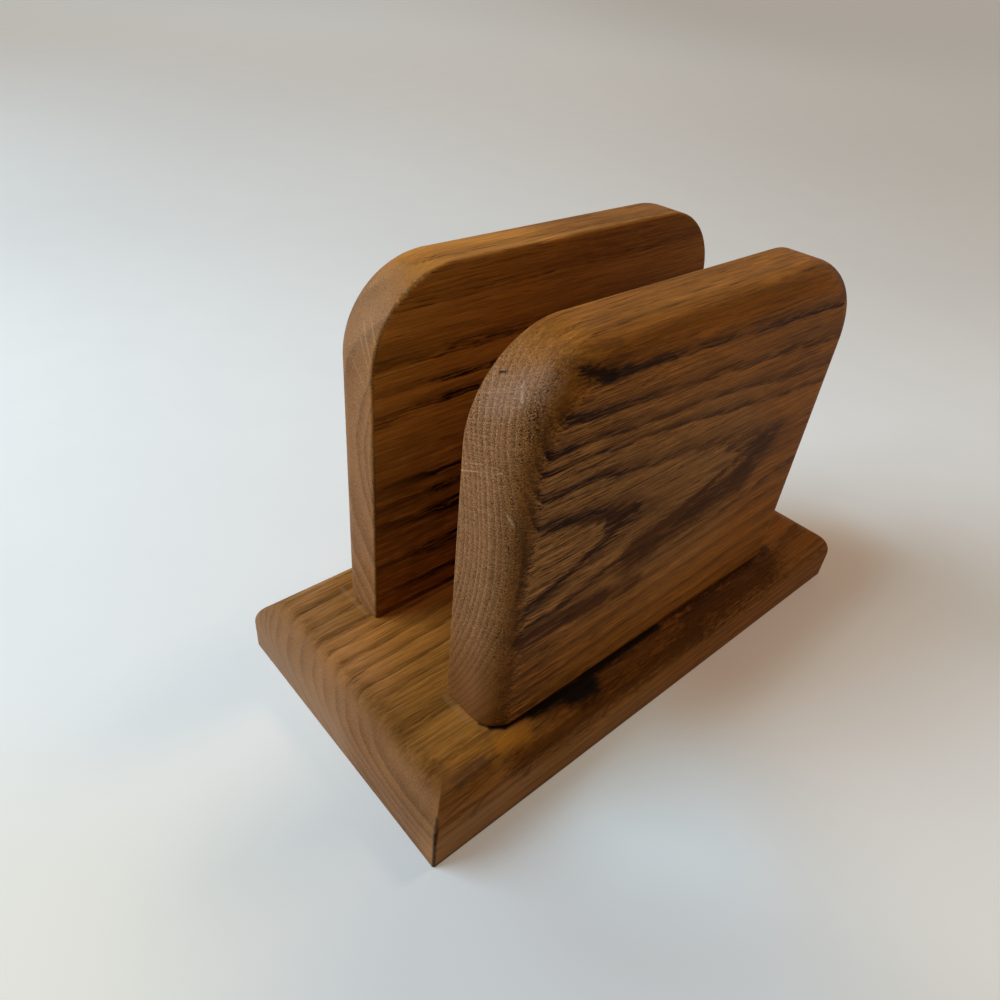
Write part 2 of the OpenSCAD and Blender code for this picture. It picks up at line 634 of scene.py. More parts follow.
@dataclass(frozen=True)
class Trunk:
    """Where a board was cut from the trunk.

    The pith lies at pith_y, pith_z in the middle of the board and drifts off
    along X; out_y, out_z point from it to the board. wander and calm set how
    much the grain waves. ring_lines are the distances from the pith at which
    rings start, as far as they were given. Others are drawn at random out
    to near and far, apart by ring_gap times a number between the gap_shares.
    """

    pith_y: float
    pith_z: float
    drift_y: float
    drift_z: float
    out_y: float
    out_z: float
    wander: float
    seed: int
    near: float
    far: float
    ring_lines: tuple[float, ...]
    ring_gap: float = 3.0
    gap_shares: tuple[float, float] = (0.7, 1.4)
    calm: float = 1.0

    def rings(self) -> np.ndarray:
        """Lists where rings start.

        Returns:
            The distances from the pith, rising from near to far.
        """
        draw = np.random.default_rng(self.seed)
        lines = list(self.ring_lines)
        while lines[0] > self.near:
            lines.insert(0, lines[0] - self.ring_gap * draw.uniform(*self.gap_shares))
        while lines[-1] < self.far:
            lines.append(lines[-1] + self.ring_gap * draw.uniform(*self.gap_shares))
        return np.array(lines)


class BoardSurface:
    """Where a point of a board lies, in mm, and which way its surface faces.

    Tilt, side and rise are the parts of the surface's direction along X, Y and
    Z. End is 1 on the sawn ends, and slant is 1 on the rounded corners.
    """

    def __init__(self, graph: Graph, mark: bpy.types.NodeTree) -> None:
        """Reads the place and the direction.

        Args:
            graph: the material's graph.
            mark: the node group that masks one patch.
        """
        self.graph = graph
        self.mark = mark
        scaled = graph.add("ShaderNodeVectorMath", operation="SCALE")
        graph.join(graph.add("ShaderNodeTexCoord").outputs["Object"], scaled.inputs[0])
        scaled.inputs["Scale"].default_value = 1.0 / MM
        self.point = scaled.outputs[0]
        self.across, self.aside, self.up = graph.split(self.point)
        normal = graph.split(graph.add("ShaderNodeNewGeometry").outputs["True Normal"])
        self.tilt, self.side, self.rise = normal[0].size(), normal[1].size(), normal[2]
        self.end = (self.tilt + self.rise.at_least(0.0) * 0.22).step(0.42, 0.96)
        corner = self.tilt.step(0.12, 0.5) * self.tilt.step(0.98, 0.62)
        self.slant = corner * self.side.step(0.1, 0.5)

    def blotches(self, along: float, across: float) -> Value:
        """Draws soft blotches.

        Args:
            along: how many there are to a millimetre along the grain.
            across: how many across it.

        Returns:
            A noise, mostly from 0.25 to 0.75.
        """
        place = self.graph.vector(self.across * along, self.aside * across, self.up * across)
        return self.graph.noise_value(place, 3.0, 0.6)

    def covered(self, patches: Sequence[Patch]) -> Term:
        """Adds up the masks of several patches.

        Args:
            patches: the patches to lay.

        Returns:
            How strongly they cover the place, 0 where there are none.
        """
        total: Term = 0.0
        for patch in patches:
            node = self.graph.group(self.mark, Point=self.point, Start=patch.start,
                                    End=patch.end, Width=patch.width, Ragged=patch.ragged)
            total = Value(self.graph, node.outputs["Mask"]) * patch.amount + total
        return total


@dataclass(frozen=True)
class OakFinish:
    """Stained, satin-sealed solid oak for one board.

    Attributes:
        name: the material's name.
        trunk: where the board was cut from.
        pale, dark: the wood between ring starts, and at them.
        pore, soft_pore: open pores, and pores that the finish has filled.
        sawn, fleck: end grain, and the light specks on it.
        worn, bleached: the colour of rubbed edges, also laid on surfaces that look up as painted
            light and shade, and how strongly it covers those surfaces.
        tint, tinted: another tone, and where it lies; on the base it is partly painted light.
        line, fine, hatch: strength of the ring bands, fine lines and short strokes.
        side_line: the share of the lines that is left on upright sides.
        rows, rows_fade: strength of the specks, and the heights where they set in.
        face_ends: the tilts at which face grain has gone and is full.
        heavy: where the lines are stronger.
        rough_end: x where the grain is roughest, and x where that has gone.
        faint_below, faint_above: heights past which the lines are weaker.
        shades, marks: darker figure and painted shade, and scratches, scuffs, stains, painted
            shadows and highlights.
        sheen: how strongly the finish mirrors.
    """

    name: str
    trunk: Trunk
    pale: Colour
    dark: Colour
    pore: Colour
    sawn: Colour
    fleck: Colour
    worn: Colour
    tint: Colour = (0.5, 0.5, 0.5, 1.0)
    tinted: tuple[Patch, ...] = ()
    line: float = 1.0
    fine: float = 0.5
    hatch: float = 0.0
    side_line: float = 1.0
    rows: float = 1.0
    rows_fade: tuple[float, float] = (-2.0, -1.0)
    face_ends: tuple[float, float] = (0.78, 0.28)
    soft_pore: Colour = (0.03, 0.012, 0.004, 1.0)
    heavy: tuple[Patch, ...] = ()
    rough_end: tuple[float, float] = (-300.0, -299.0)
    faint_below: float = -50.0
    faint_above: float = 300.0
    top_shading: float = 0.0
    shades: tuple[Patch, ...] = ()
    marks: tuple[Mark, ...] = ()
    sheen: float = 0.04

    def make(self, effects: Effects) -> bpy.types.Material:
        """Builds the board's material.

        Args:
            effects: the shared node groups by name.

        Returns:
            The material.
        """
        material, graph = new_material(self.name)
        here = BoardSurface(graph, effects["mark"])
        trunk = self.trunk
        found = graph.group(
            effects["trunk"], Point=here.point, Pith_Y=trunk.pith_y, Pith_Z=trunk.pith_z,
            Drift_Y=trunk.drift_y, Drift_Z=trunk.drift_z, Out_Y=trunk.out_y,
            Out_Z=trunk.out_z, Wander=trunk.wander, Calm=trunk.calm, Seed=float(trunk.seed))
        radius = Value(graph, found.outputs["Radius"])
        tinted = (1.0 - here.slant * 0.6) * here.covered(self.tinted)
        oak = graph.group(
            effects["oak"], Point=found.outputs["Grain Point"], Radius=radius,
            Around=found.outputs["Around"], Rings=self.count_rings(graph, radius),
            Face=here.tilt.step(*self.face_ends), End=here.end, Slant=here.slant,
            Shade=here.covered(self.shades), Seed=float(trunk.seed),
            Rows=here.up.step(*self.rows_fade) * self.rows, Worn=self.wear(graph, here),
            Pale=graph.mix(tinted, self.pale, self.tint), Dark=self.dark,
            Sawn=self.sawn, Fleck=self.fleck, Bare=self.worn, **self.grain(graph, here))

        colour = oak.outputs["Color"]
        for mark in self.marks:
            colour = graph.mix(here.covered((mark,)), colour, mark.colour)
        graph.show(graph.surface(
            oak.outputs["Height"], Base_Color=colour, Roughness=oak.outputs["Roughness"],
            Specular_IOR_Level=self.sheen))
        return material

    def grain(self, graph: Graph, here: BoardSurface) -> dict[str, object]:
        """Works out how strongly the grain is drawn at a point.

        Lines grow towards the rough end and in heavy patches. They are weaker
        past the faint heights and on upright sides, and the short strokes are
        weaker on surfaces that look up. Pores lie open where lines are strong.

        Args:
            graph: the material's graph.
            here: the board's surface.

        Returns:
            The oak effect's inputs Line, Fine, Hatch and Pore.
        """
        roughest, smooth_from = self.rough_end
        rough = here.across.step(smooth_from, roughest) * here.aside.size().step(20.0, 28.0)
        line = rough * 0.7 + self.line
        line = line * (here.up.step(self.faint_below - 8.0, self.faint_below + 8.0) * 0.55 + 0.45)
        line = line * (here.up.step(self.faint_above + 3.0, self.faint_above) * 0.7 + 0.3)
        line = line * (1.0 - here.side.step(0.6, 0.95) * (1.0 - self.side_line))
        hatch = (here.across.step(smooth_from + 45.0, roughest) * 0.65 + 0.35) * self.hatch
        hatch = hatch * (1.0 - here.rise.step(0.2, 0.8) * 0.75)
        heavy = here.covered(self.heavy)
        open_grain = rough.at_least(heavy) * (1.0 - here.slant * 0.8)
        return {"Line": line + heavy, "Fine": line * self.fine, "Hatch": hatch,
                "Pore": graph.mix(open_grain, self.soft_pore, self.pore)}

    def wear(self, graph: Graph, here: BoardSurface) -> Value:
        """Works out how much of the bare colour a point takes.

        The stain has rubbed off in patches along the edges. Surfaces that look
        up take the same colour in streaks, as painted light and shade.

        Args:
            graph: the material's graph.
            here: the board's surface.

        Returns:
            0 where the wood keeps its own colour, up to 1 on bare edges and fully painted tops.
        """
        arris = graph.add("ShaderNodeAttribute", attribute_name="arris").outputs["Fac"]
        rubbed = Value(graph, arris) * here.blotches(0.35, 0.35).step(0.42, 0.6) * 0.6
        # Painted light and shade: surfaces that look up take the bare colour in streaks.
        painted_top_streaks = here.blotches(0.05, 0.4).step(0.36, 0.6) * 0.6 + 0.4
        return rubbed.at_least(here.rise.step(0.3, 0.95) * self.top_shading * painted_top_streaks)

    def count_rings(self, graph: Graph, radius: Value) -> Value:
        """Turns the distance to the pith into a count of rings.

        The count rises by one from each ring start to the next.

        Args:
            graph: the material's graph.
            radius: the distance to the pith.

        Returns:
            The count, with the place inside the ring as its fraction.
        """
        starts = self.trunk.rings()
        span = starts[-1] - starts[0]
        node = graph.add("ShaderNodeFloatCurve")
        curve = node.mapping.curves[0]
        places = (starts - starts[0]) / span
        levels = np.arange(len(starts)) / (len(starts) - 1)
        for index, (place, level) in enumerate(zip(places.tolist(), levels.tolist())):
            if index in (0, len(starts) - 1):
                spot = curve.points[0 if index == 0 else -1]
                spot.location = (place, level)
            else:
                spot = curve.points.new(place, level)
            spot.handle_type = "VECTOR"
        node.mapping.update()
        graph.join((radius - float(starts[0])) / float(span), node.inputs["Value"])
        return Value(graph, node.outputs["Value"]) * float(len(starts) - 1)


@dataclass(frozen=True)
class SteelFinish:
    """Brushed, zinc-plated steel of the screws."""

    name: str = "zinc_plated_steel"

    def make(self) -> bpy.types.Material:
        """Builds the material: fine scratches, faint blotches and dulled metal.

        Returns:
            The material.
        """
        material, graph = new_material(self.name)
        place = graph.add("ShaderNodeTexCoord").outputs["Object"]
        x, y, z = graph.split(place)
        scratch = graph.noise_value(graph.vector(x * 900.0, y * 900.0, z * 5000.0), 3.0, 0.6)
        blotch = graph.noise_value(graph.vector(x * 400.0, y * 400.0, z * 400.0), 2.0)
        colour = graph.mix(blotch.step(0.35, 0.7), linear(176, 174, 168), linear(141, 138, 130))
        graph.show(graph.surface(
            scratch * 0.02, Metallic=1.0, Base_Color=colour, Roughness=scratch * 0.25 + 0.25))
        return material


# Surfaces


class Shell:
    """Gathers grids of points and welds them into one closed surface."""

    def __init__(self) -> None:
        """Starts empty."""
        self.points: list[np.ndarray] = []
        self.faces: list[np.ndarray] = []
        self.arris: list[np.ndarray] = []
        self.count = 0

    def add(self, grid: np.ndarray, arris: np.ndarray | float = 0.0,
            closed: bool = False) -> None:
        """Adds one grid, with a quad between each four neighbours.

        Args:
            grid: points as rows, columns and x, y, z, in mm.
            arris: how near each point is to a worn edge, 0 to 1.
            closed: whether the last column joins the first.
        """
        rows, columns = grid.shape[:2]
        index = np.arange(rows * columns).reshape(rows, columns) + self.count
        if closed:
            index = np.concatenate([index, index[:, :1]], axis=1)
        corners = (index[:-1, :-1], index[:-1, 1:], index[1:, 1:], index[1:, :-1])
        self.points.append(grid.reshape(-1, 3))
        self.arris.append(np.broadcast_to(arris, (rows, columns)).reshape(-1))
        self.faces.append(np.stack(corners, axis=-1).reshape(-1, 4))
        self.count += rows * columns

    def cap(self, ring: np.ndarray, centre: Sequence[float]) -> None:
        """Closes a ring of points with a fan.

        Args:
            ring: the points.
            centre: where the fan meets.
        """
        middle = np.broadcast_to(np.asarray(centre, dtype=float), ring.shape)
        self.add(np.stack([ring, middle]), closed=True)

    def build(self, name: str) -> bpy.types.Object:
        """Welds the grids, turns all faces outwards and makes the object.

        Args:
            name: the object's name.

        Returns:
            The object, at the origin, with smooth faces and sharp edges kept.
        """
        mesh = bpy.data.meshes.new(name)
        mesh.from_pydata(np.concatenate(self.points) * MM, [], np.concatenate(self.faces))
        layer = mesh.attributes.new("arris", "FLOAT", "POINT")
        layer.data.foreach_set("value", np.concatenate(self.arris).astype(np.float32))
        work = bmesh.new()
        work.from_mesh(mesh)
        bmesh.ops.remove_doubles(work, verts=work.verts, dist=WELD * MM)
        bmesh.ops.dissolve_degenerate(work, edges=work.edges, dist=SLIVER * MM)
        bmesh.ops.recalc_face_normals(work, faces=work.faces)
        work.to_mesh(mesh)
        work.free()
        smooth(mesh)
        thing = bpy.data.objects.new(name, mesh)
        bpy.context.collection.objects.link(thing)
        return thing


def smooth(mesh: bpy.types.Mesh) -> None:
    """Shades a mesh smooth, with its sharp edges kept.

    Args:
        mesh: the mesh, changed in place.
    """
    mesh.polygons.foreach_set("use_smooth", np.ones(len(mesh.polygons), dtype=bool))
    mesh.set_sharp_from_angle(angle=SHARP_ANGLE)
    mesh.update()


def turned(outline: np.ndarray, sides: int) -> Shell:
    """Turns an outline about the Z axis.

    Args:
        outline: radius and height of each point, starting and ending on the axis.
        sides: points round each ring.

    Returns:
        The closed surface.
    """
    turns = np.linspace(0, 2 * math.pi, sides, endpoint=False)
    radius, height = outline[:, :1], outline[:, 1:]
    grid = np.stack([radius * np.cos(turns), radius * np.sin(turns),
                     np.broadcast_to(height, (len(outline), sides))], axis=-1)
    shell = Shell()
    shell.add(grid, closed=True)
    return shell


def cut_away(piece: bpy.types.Object, cutters: Sequence[bpy.types.Object]) -> None:
    """Cuts closed shapes out of a piece and deletes them.

    Args:
        piece: the piece to cut, changed in place.
        cutters: the shapes taken out of it.
    """
    for cutter in cutters:
        modifier = piece.modifiers.new("cut", "BOOLEAN")
        modifier.operation = "DIFFERENCE"
        modifier.solver = "EXACT"
        modifier.object = cutter
    graph = bpy.context.evaluated_depsgraph_get()
    mesh = bpy.data.meshes.new_from_object(piece.evaluated_get(graph))
    piece.modifiers.clear()
    piece.data = mesh
    mesh.name = piece.name
    smooth(mesh)
    for cutter in cutters:
        bpy.data.objects.remove(cutter)


def finish_piece(piece: bpy.types.Object, material: bpy.types.Material, node: str) -> None:
    """Gives a piece its material and its place in the frame.

    Args:
        piece: the finished object.
        material: what it is made of.
        node: the frame's node that it stands for.
    """
    piece.data.materials.clear()
    piece.data.materials.append(material)
    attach(piece, BODY)
    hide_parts(node)
    LOG.info("%s: %d faces", piece.name, len(piece.data.polygons))


@dataclass(frozen=True)
class ScrewSizes:
    """Lengths of one countersunk wood screw and of the holes that take it.

    Attributes:
        length, pitch: the screw's length, and the distance between two screws.
        head_d, head_h, rim_h: the head, with a straight rim under its cone.
        shank_d, shank_l: the plain shank, its length counted from the head's face.
        root_d, tip_l: the root of the thread, and the pointed tip.
        sink: how far the head lies below the underside.
        drive_w, drive_l, drive_depth: the arms of the cross recess.
        seat_gap, shank_gap, pilot_gap: clearance at the cone, shank and thread.
        pilot_spare: room beyond the tip.
        thread_step, thread_h: the thread's climb in one turn, and its height.
        overrun: how far a cutter runs past the face that it opens.
        entry_least, entry_slope: the least depth of a pilot hole's wide mouth,
            and the height over which it narrows.
        clearance_sides, pilot_sides: how many sides the cutters have.
    """

    length: float = 38.0
    pitch: float = 76.0
    head_d: float = 8.4
    head_h: float = 2.8
    rim_h: float = 0.4
    shank_d: float = 4.2
    shank_l: float = 15.0
    root_d: float = 3.0
    tip_l: float = 5.0
    sink: float = 0.6
    drive_w: float = 1.2
    drive_l: float = 4.6
    drive_depth: float = 1.8
    seat_gap: float = 0.05
    shank_gap: float = 0.25
    pilot_gap: float = 0.05
    pilot_spare: float = 2.0
    thread_step: float = 1.8
    thread_h: float = 0.55
    overrun: float = 1.0
    entry_least: float = 0.2
    entry_slope: float = 0.5
    clearance_sides: int = 48
    pilot_sides: int = 32

    @property
    def neck(self) -> float:
        """The length over which the shank narrows to the root."""
        return (self.shank_d - self.root_d) / 2

    def moved(self, shell: Shell, place: Place, name: str) -> bpy.types.Object:
        """Builds a shell at a screw's place.

        Args:
            shell: the surface, made about the Z axis.
            place: x and y of the screw.
            name: the object's name.

        Returns:
            The object.
        """
        for points in shell.points:
            points += np.array([place[0], place[1], 0.0])
        return shell.build(name)

    def clearance_hole(self, place: Place, top: float) -> bpy.types.Object:
        """Makes the shape cut through the base for one screw.

        Args:
            place: x and y of the screw.
            top: the top of the base.

        Returns:
            The cutter: a hole with its countersink, open at both ends.
        """
        rim = self.head_d / 2 + self.seat_gap
        hole = self.shank_d / 2 + self.shank_gap
        rim_top = self.sink + self.rim_h
        slope = (self.head_h - self.rim_h) * (rim - hole) / (self.head_d / 2 - self.shank_d / 2)
        low, high = -self.overrun, top + self.overrun
        outline = np.array([[0, low], [rim, low], [rim, rim_top], [hole, rim_top + slope],
                            [hole, high], [0, high]], dtype=float)
        return self.moved(turned(outline, self.clearance_sides), place, "clearance_cutter")

    def pilot_hole(self, place: Place, foot: float) -> bpy.types.Object:
        """Makes the shape cut into an upright's foot for one screw.

        Args:
            place: x and y of the screw.
            foot: the height of the foot.

        Returns:
            The cutter: a wide mouth for the shank, then a narrow drilled hole.
        """
        wide = self.shank_d / 2 + self.shank_gap
        narrow = self.root_d / 2 + self.pilot_gap
        low = foot - self.overrun
        entry = self.sink + self.shank_l + self.neck
        if self.shank_l < foot:
            entry = foot + self.overrun
        entry = max(entry, foot + self.entry_least)
        deep = self.length + self.sink + self.pilot_spare
        outline = np.array([[0, low], [wide, low], [wide, entry],
                            [narrow, entry + self.entry_slope], [narrow, deep],
                            [0, deep + narrow]], dtype=float)
        return self.moved(turned(outline, self.pilot_sides), place, "pilot_cutter")


@dataclass
class BaseBoard:
    """The board that the holder stands on, with its top edges rounded over.

    Attributes:
        screws, places: the screws' sizes, and x and y of each.
        length, width, thickness: the board's sizes.
        round_over: radius routed along the top edges.
        corner_ease, ease_power: how soft the upright corners are at the foot,
            and how late up the board that softness goes.
        foot_ease, foot_wear: radius and wear of the lower edges.
        worn_reach: how far the wear of a corner reaches.
        step: distance between points along a side.
        foot_points, side_points, round_points, corner_points: how many points
            the parts of the section and of a corner have.
        name: the piece's own name.
    """

    screws: ScrewSizes
    places: Sequence[Place]
    length: float = 178.0
    width: float = 89.0
    thickness: float = 19.0
    round_over: float = 9.5
    corner_ease: float = 0.7
    ease_power: int = 6
    foot_ease: float = 0.35
    foot_wear: float = 0.8
    worn_reach: float = 0.9
    step: float = 1.0
    foot_points: int = 5
    side_points: int = 10
    round_points: int = 23
    corner_points: int = 7
    name: str = "oak_base"

    def profile(self) -> tuple[np.ndarray, np.ndarray, np.ndarray]:
        """Draws the section: a small quarter round, a straight side, a large quarter round.

        Returns:
            Inset, height and edge wear of each point, from the underside up.
        """
        low = np.linspace(0, math.pi / 2, self.foot_points)
        high = np.linspace(0, math.pi / 2, self.round_points)
        rise = self.thickness - self.round_over
        side = np.linspace(self.foot_ease, rise, self.side_points)[1:-1]
        inset = np.concatenate([self.foot_ease * (1 - np.sin(low)), 0 * side,
                                self.round_over * (1 - np.cos(high))])
        height = np.concatenate([self.foot_ease * (1 - np.cos(low)), side,
                                 self.thickness - self.round_over * (1 - np.sin(high))])
        wear = np.concatenate([np.full(len(low), self.foot_wear), 0 * side, 0 * high])
        return inset, height, wear

    def lines(self, size: float, inset: float) -> np.ndarray:
        """Spaces points evenly over a side, between its two corners.

        Args:
            size: the side's full length.
            inset: how far each end is drawn in.

        Returns:
            The places along the side.
        """
        count = int(round((size - 2 * self.round_over) / self.step)) + 1
        return np.linspace(-size / 2 + inset, size / 2 - inset, count)

    def ring(self, inset: float, height: float, bend: float) -> tuple[np.ndarray, np.ndarray]:
        """Runs once round the board at one inset.

        Each side is a straight run of points and each corner an arc of radius
        bend, so that the mitred corner is a little soft.

        Args:
            inset: distance in from the board's full outline.
            height: z of the ring.
            bend: radius at the corners.

        Returns:
            The ring's points, and how near each is to a corner.
        """
        run_x = self.lines(self.length, inset + bend)
        run_y = self.lines(self.width, inset + bend)
        edge_x, edge_y = self.length / 2 - inset, self.width / 2 - inset
        turn = np.linspace(0, math.pi / 2, self.corner_points)[1:-1]
        arc_x, arc_y = bend * np.cos(turn), bend * np.sin(turn)
        mid_x, mid_y = edge_x - bend, edge_y - bend
        parts = [
            np.stack([run_x, np.full(len(run_x), -edge_y)], -1),
            np.stack([mid_x + arc_y, -mid_y - arc_x], -1),
            np.stack([np.full(len(run_y), edge_x), run_y], -1),
            np.stack([mid_x + arc_x, mid_y + arc_y], -1),
            np.stack([run_x[::-1], np.full(len(run_x), edge_y)], -1),
            np.stack([-mid_x - arc_y, mid_y + arc_x], -1),
            np.stack([np.full(len(run_y), -edge_x), run_y[::-1]], -1),
            np.stack([-mid_x - arc_x, -mid_y - arc_y], -1),
        ]
        flat = np.concatenate(parts)
        off_x = edge_x - np.abs(flat[:, 0])
        off_y = edge_y - np.abs(flat[:, 1])
        near = np.exp(-(((off_x + off_y) / self.worn_reach) ** 2))
        return np.column_stack([flat, np.full(len(flat), height)]), near

    def flat(self, inset: float, height: float, bend: float) -> np.ndarray:
        """Fills the inside of a ring with a plain grid.

        Args:
            inset: distance in from the board's full outline.
            height: z of the grid.
            bend: radius at the corners.

        Returns:
            The grid.
        """
        run_x = self.lines(self.length, inset + bend)
        run_y = self.lines(self.width, inset + bend)
        x, y = np.meshgrid(run_x, run_y)
        return np.stack([x, y, np.full_like(x, height)], axis=-1)

    def build(self, material: bpy.types.Material) -> bpy.types.Object:
        """Builds, drills and dresses the base.

        Args:
            material: the base's oak.

        Returns:
            The finished piece.
        """
        inset, height, wear = self.profile()
        bends = self.corner_ease * (1 - (height / self.thickness) ** self.ease_power)
        bends[[0, -1]] = 0.0
        rings = [self.ring(*level) for level in zip(inset, height, bends)]
        shell = Shell()
        corner = np.array([near for _, near in rings])
        fade = (bends / self.corner_ease)[:, None]
        shell.add(np.array([points for points, _ in rings]),
                  np.maximum(corner * fade, wear[:, None]), closed=True)
        shell.add(self.flat(inset[0], height[0], 0.0))
        shell.add(self.flat(inset[-1], height[-1], 0.0))
        piece = shell.build(self.name)
        cut_away(piece, [self.screws.clearance_hole(place, self.thickness)
                         for place in self.places])
        finish_piece(piece, material, "base_board")
        return piece


@dataclass(frozen=True)
class Chip:
    """A small dent in a board's edge, in mm."""

    centre: Point
    radius: float
    depth: float


@dataclass
class UprightBoard:
    """One upright: round upper corners, outer edge routed, inner edge eased.

    Attributes:
        side: whether it is the front or the rear one.
        screws: the screws' sizes.
        length, height, thickness: the board's sizes.
        corner_r: radius of the upper corners.
        outer_r, inner_r: radii of the outer and the inner edge.
        foot_ease, foot_z: radius of the lower edges, and the height of the foot.
        slot_w, shift: the slot between the uprights, and their place along X.
        foot_wear: wear of the lower edges.
        band, band_wear: offsets of the straight band's points, and their wear.
        ease_points, round_points, side_points, corner_points, top_points,
        foot_points: how many points the parts of the section and of the path have.
        chips: dents in the inner edge.
    """

    side: Side
    screws: ScrewSizes
    length: float = 126.0
    height: float = 101.0
    thickness: float = 18.0
    corner_r: float = 24.0
    outer_r: float = 8.0
    inner_r: float = 1.0
    foot_ease: float = 0.35
    foot_z: float = 19.0
    slot_w: float = 32.5
    shift: float = -1.2
    foot_wear: float = 0.3
    band: tuple[float, ...] = (1.6, 2.4, 4.0, 6.0, 8.0)
    band_wear: tuple[float, ...] = (0.5, 0.0, 0.0, 0.0, 0.0)
    ease_points: int = 7
    round_points: int = 21
    side_points: int = 60
    corner_points: int = 73
    top_points: int = 40
    foot_points: int = 4
    chips: tuple[Chip, ...] = ()

    @property
    def name(self) -> str:
        """The piece's own name."""
        return "oak_upright_" + self.side.name.lower()

    @property
    def places(self) -> list[Place]:
        """X and y of the board's left and right screw."""
        middle = self.side.value * (self.slot_w + self.thickness) / 2
        return [(end * self.screws.pitch / 2 + self.shift, middle) for end in (-1, 1)]

    def edge_profile(self) -> tuple[np.ndarray, np.ndarray, np.ndarray]:
        """Draws the section: a small quarter round, a straight band, a large quarter round.

        Returns:
            Depth in from the edge, offset from the inner face, and wear of each point.
        """
        small = np.linspace(0, math.pi / 2, self.ease_points)
        large = np.linspace(0, math.pi / 2, self.round_points)
        band_end = self.thickness - self.outer_r
        band = np.array(self.band)
        depth = np.concatenate([self.inner_r * (1 - np.sin(small)), 0 * band,
                                self.outer_r * (1 - np.cos(large))])
        offset = np.concatenate([self.inner_r * (1 - np.cos(small)), band,
                                 band_end + self.outer_r * np.sin(large)])
        wear = np.concatenate([np.ones(len(small)), self.band_wear, 0 * large])
        return depth, offset, wear

    def path(self, inset: float) -> tuple[np.ndarray, int]:
        """Runs up the left side, over the top and down the right side.

        The side is straight, the corner an arc whose radius is the corner's
        less the inset, and the top straight.

        Args:
            inset: distance in from the full outline.

        Returns:
            x and z of each point, and how many points one side has.
        """
        half, reach = self.length / 2, self.height - self.corner_r
        rise = np.linspace(self.foot_ease, reach, self.side_points)[:-1]
        turn = np.linspace(0, math.pi / 2, self.corner_points)[:-1]
        radius = self.corner_r - inset
        run = np.linspace(-half + self.corner_r, 0, self.top_points)
        x = np.concatenate([np.full(len(rise), -half + inset),
                            -half + self.corner_r - radius * np.cos(turn), run])
        z = np.concatenate([rise, reach + radius * np.sin(turn),
                            np.full(len(run), self.height - inset)])
        x = np.concatenate([x, -x[-2::-1]])
        z = np.concatenate([z, z[-2::-1]])
        return np.stack([x, z], axis=-1), len(rise)

    def place(self, x: np.ndarray, offset: np.ndarray | float, z: np.ndarray) -> np.ndarray:
        """Puts a board's own measures in the frame.

        Args:
            x: distance from the middle of the board, along the grain.
            offset: distance from the inner face.
            z: height above the foot.

        Returns:
            The points.
        """
        x, offset, z = np.broadcast_arrays(x, offset, z)
        y = self.side.value * (self.slot_w / 2 + offset)
        return np.stack([x + self.shift, y, z + self.foot_z], axis=-1)

    def face(self, inset: float, offset: float) -> np.ndarray:
        """Fills one flat face: each column runs from the foot to the outline.

        Args:
            inset: distance in from the full outline.
            offset: distance from the inner face.

        Returns:
            The face as a grid.
        """
        path, sides = self.path(inset)
        top = path[sides:len(path) - sides]
        share = np.linspace(0, 1, sides + 1)[:, None]
        z = self.foot_ease + (top[:, 1] - self.foot_ease) * share
        return self.place(np.broadcast_to(top[:, 0], z.shape), offset, z)

    def foot(self) -> tuple[np.ndarray, np.ndarray]:
        """Outlines and fills the foot.

        Returns:
            The outline as a closed loop of x and offset, and the fill as a grid
            whose first and last columns are the two end profiles.
        """
        depth, offset, _ = self.edge_profile()
        half = self.length / 2
        inner = self.path(depth[0])[0]
        outer = self.path(depth[-1])[0]
        sides = self.path(0.0)[1]
        inner_x = inner[sides:len(inner) - sides, 0]
        outer_x = outer[sides:len(outer) - sides, 0]
        share = np.linspace(0, 1, len(offset))[:, None]
        middle_x = inner_x + (outer_x - inner_x) * share
        middle_y = np.broadcast_to(self.thickness * share, middle_x.shape)
        left = np.stack([-half + depth, offset], -1)[:, None]
        right = np.stack([half - depth, offset], -1)[:, None]
        fill = np.concatenate([left, np.stack([middle_x, middle_y], -1), right], axis=1)
        loop = np.concatenate([fill[0, :-1], fill[:-1, -1], fill[-1, :0:-1], fill[:0:-1, 0]])
        return loop, fill

    def shrink(self, flat: np.ndarray, inset: float) -> np.ndarray:
        """Draws the foot in.

        Args:
            flat: x and offset of each point.
            inset: how far the outline comes in.

        Returns:
            The points, moved in proportion to their distance from the middle.
        """
        middle = np.array([0.0, self.thickness / 2])
        scale = 1 - 2 * inset / np.array([self.length, self.thickness])
        return middle + (flat - middle) * scale

    def build(self, material: bpy.types.Material) -> bpy.types.Object:
        """Builds, wears, drills and dresses the upright.

        Args:
            material: the board's oak.

        Returns:
            The finished piece.
        """
        depth, offset, wear = self.edge_profile()
        bands = [self.path(level)[0] for level in depth]
        shell = Shell()
        edge = np.array([self.place(band[:, 0], level, band[:, 1])
                         for band, level in zip(bands, offset)])
        shell.add(edge, wear[:, None])
        shell.add(self.face(depth[0], offset[0]), 0.0)
        shell.add(self.face(depth[-1], offset[-1]), 0.0)
        loop, fill = self.foot()
        turn = np.linspace(0, math.pi / 2, self.foot_points)
        levels = zip(self.foot_ease * (1 - np.cos(turn)), self.foot_ease * (1 - np.sin(turn)))
        rings = []
        for drawn, rise in levels:
            flat = self.shrink(loop, drawn)
            rings.append(self.place(flat[:, 0], flat[:, 1], np.full(len(flat), rise)))
        shell.add(np.array(rings), self.foot_wear, closed=True)
        flat = self.shrink(fill, self.foot_ease)
        shell.add(self.place(flat[..., 0], flat[..., 1], np.zeros(flat.shape[:2])))
        self.wear_edges(shell)
        piece = shell.build(self.name)
        cut_away(piece, [self.screws.pilot_hole(place, self.foot_z) for place in self.places])
        node = self.side.name.lower()
        finish_piece(piece, material, node + "_upright")
        return piece

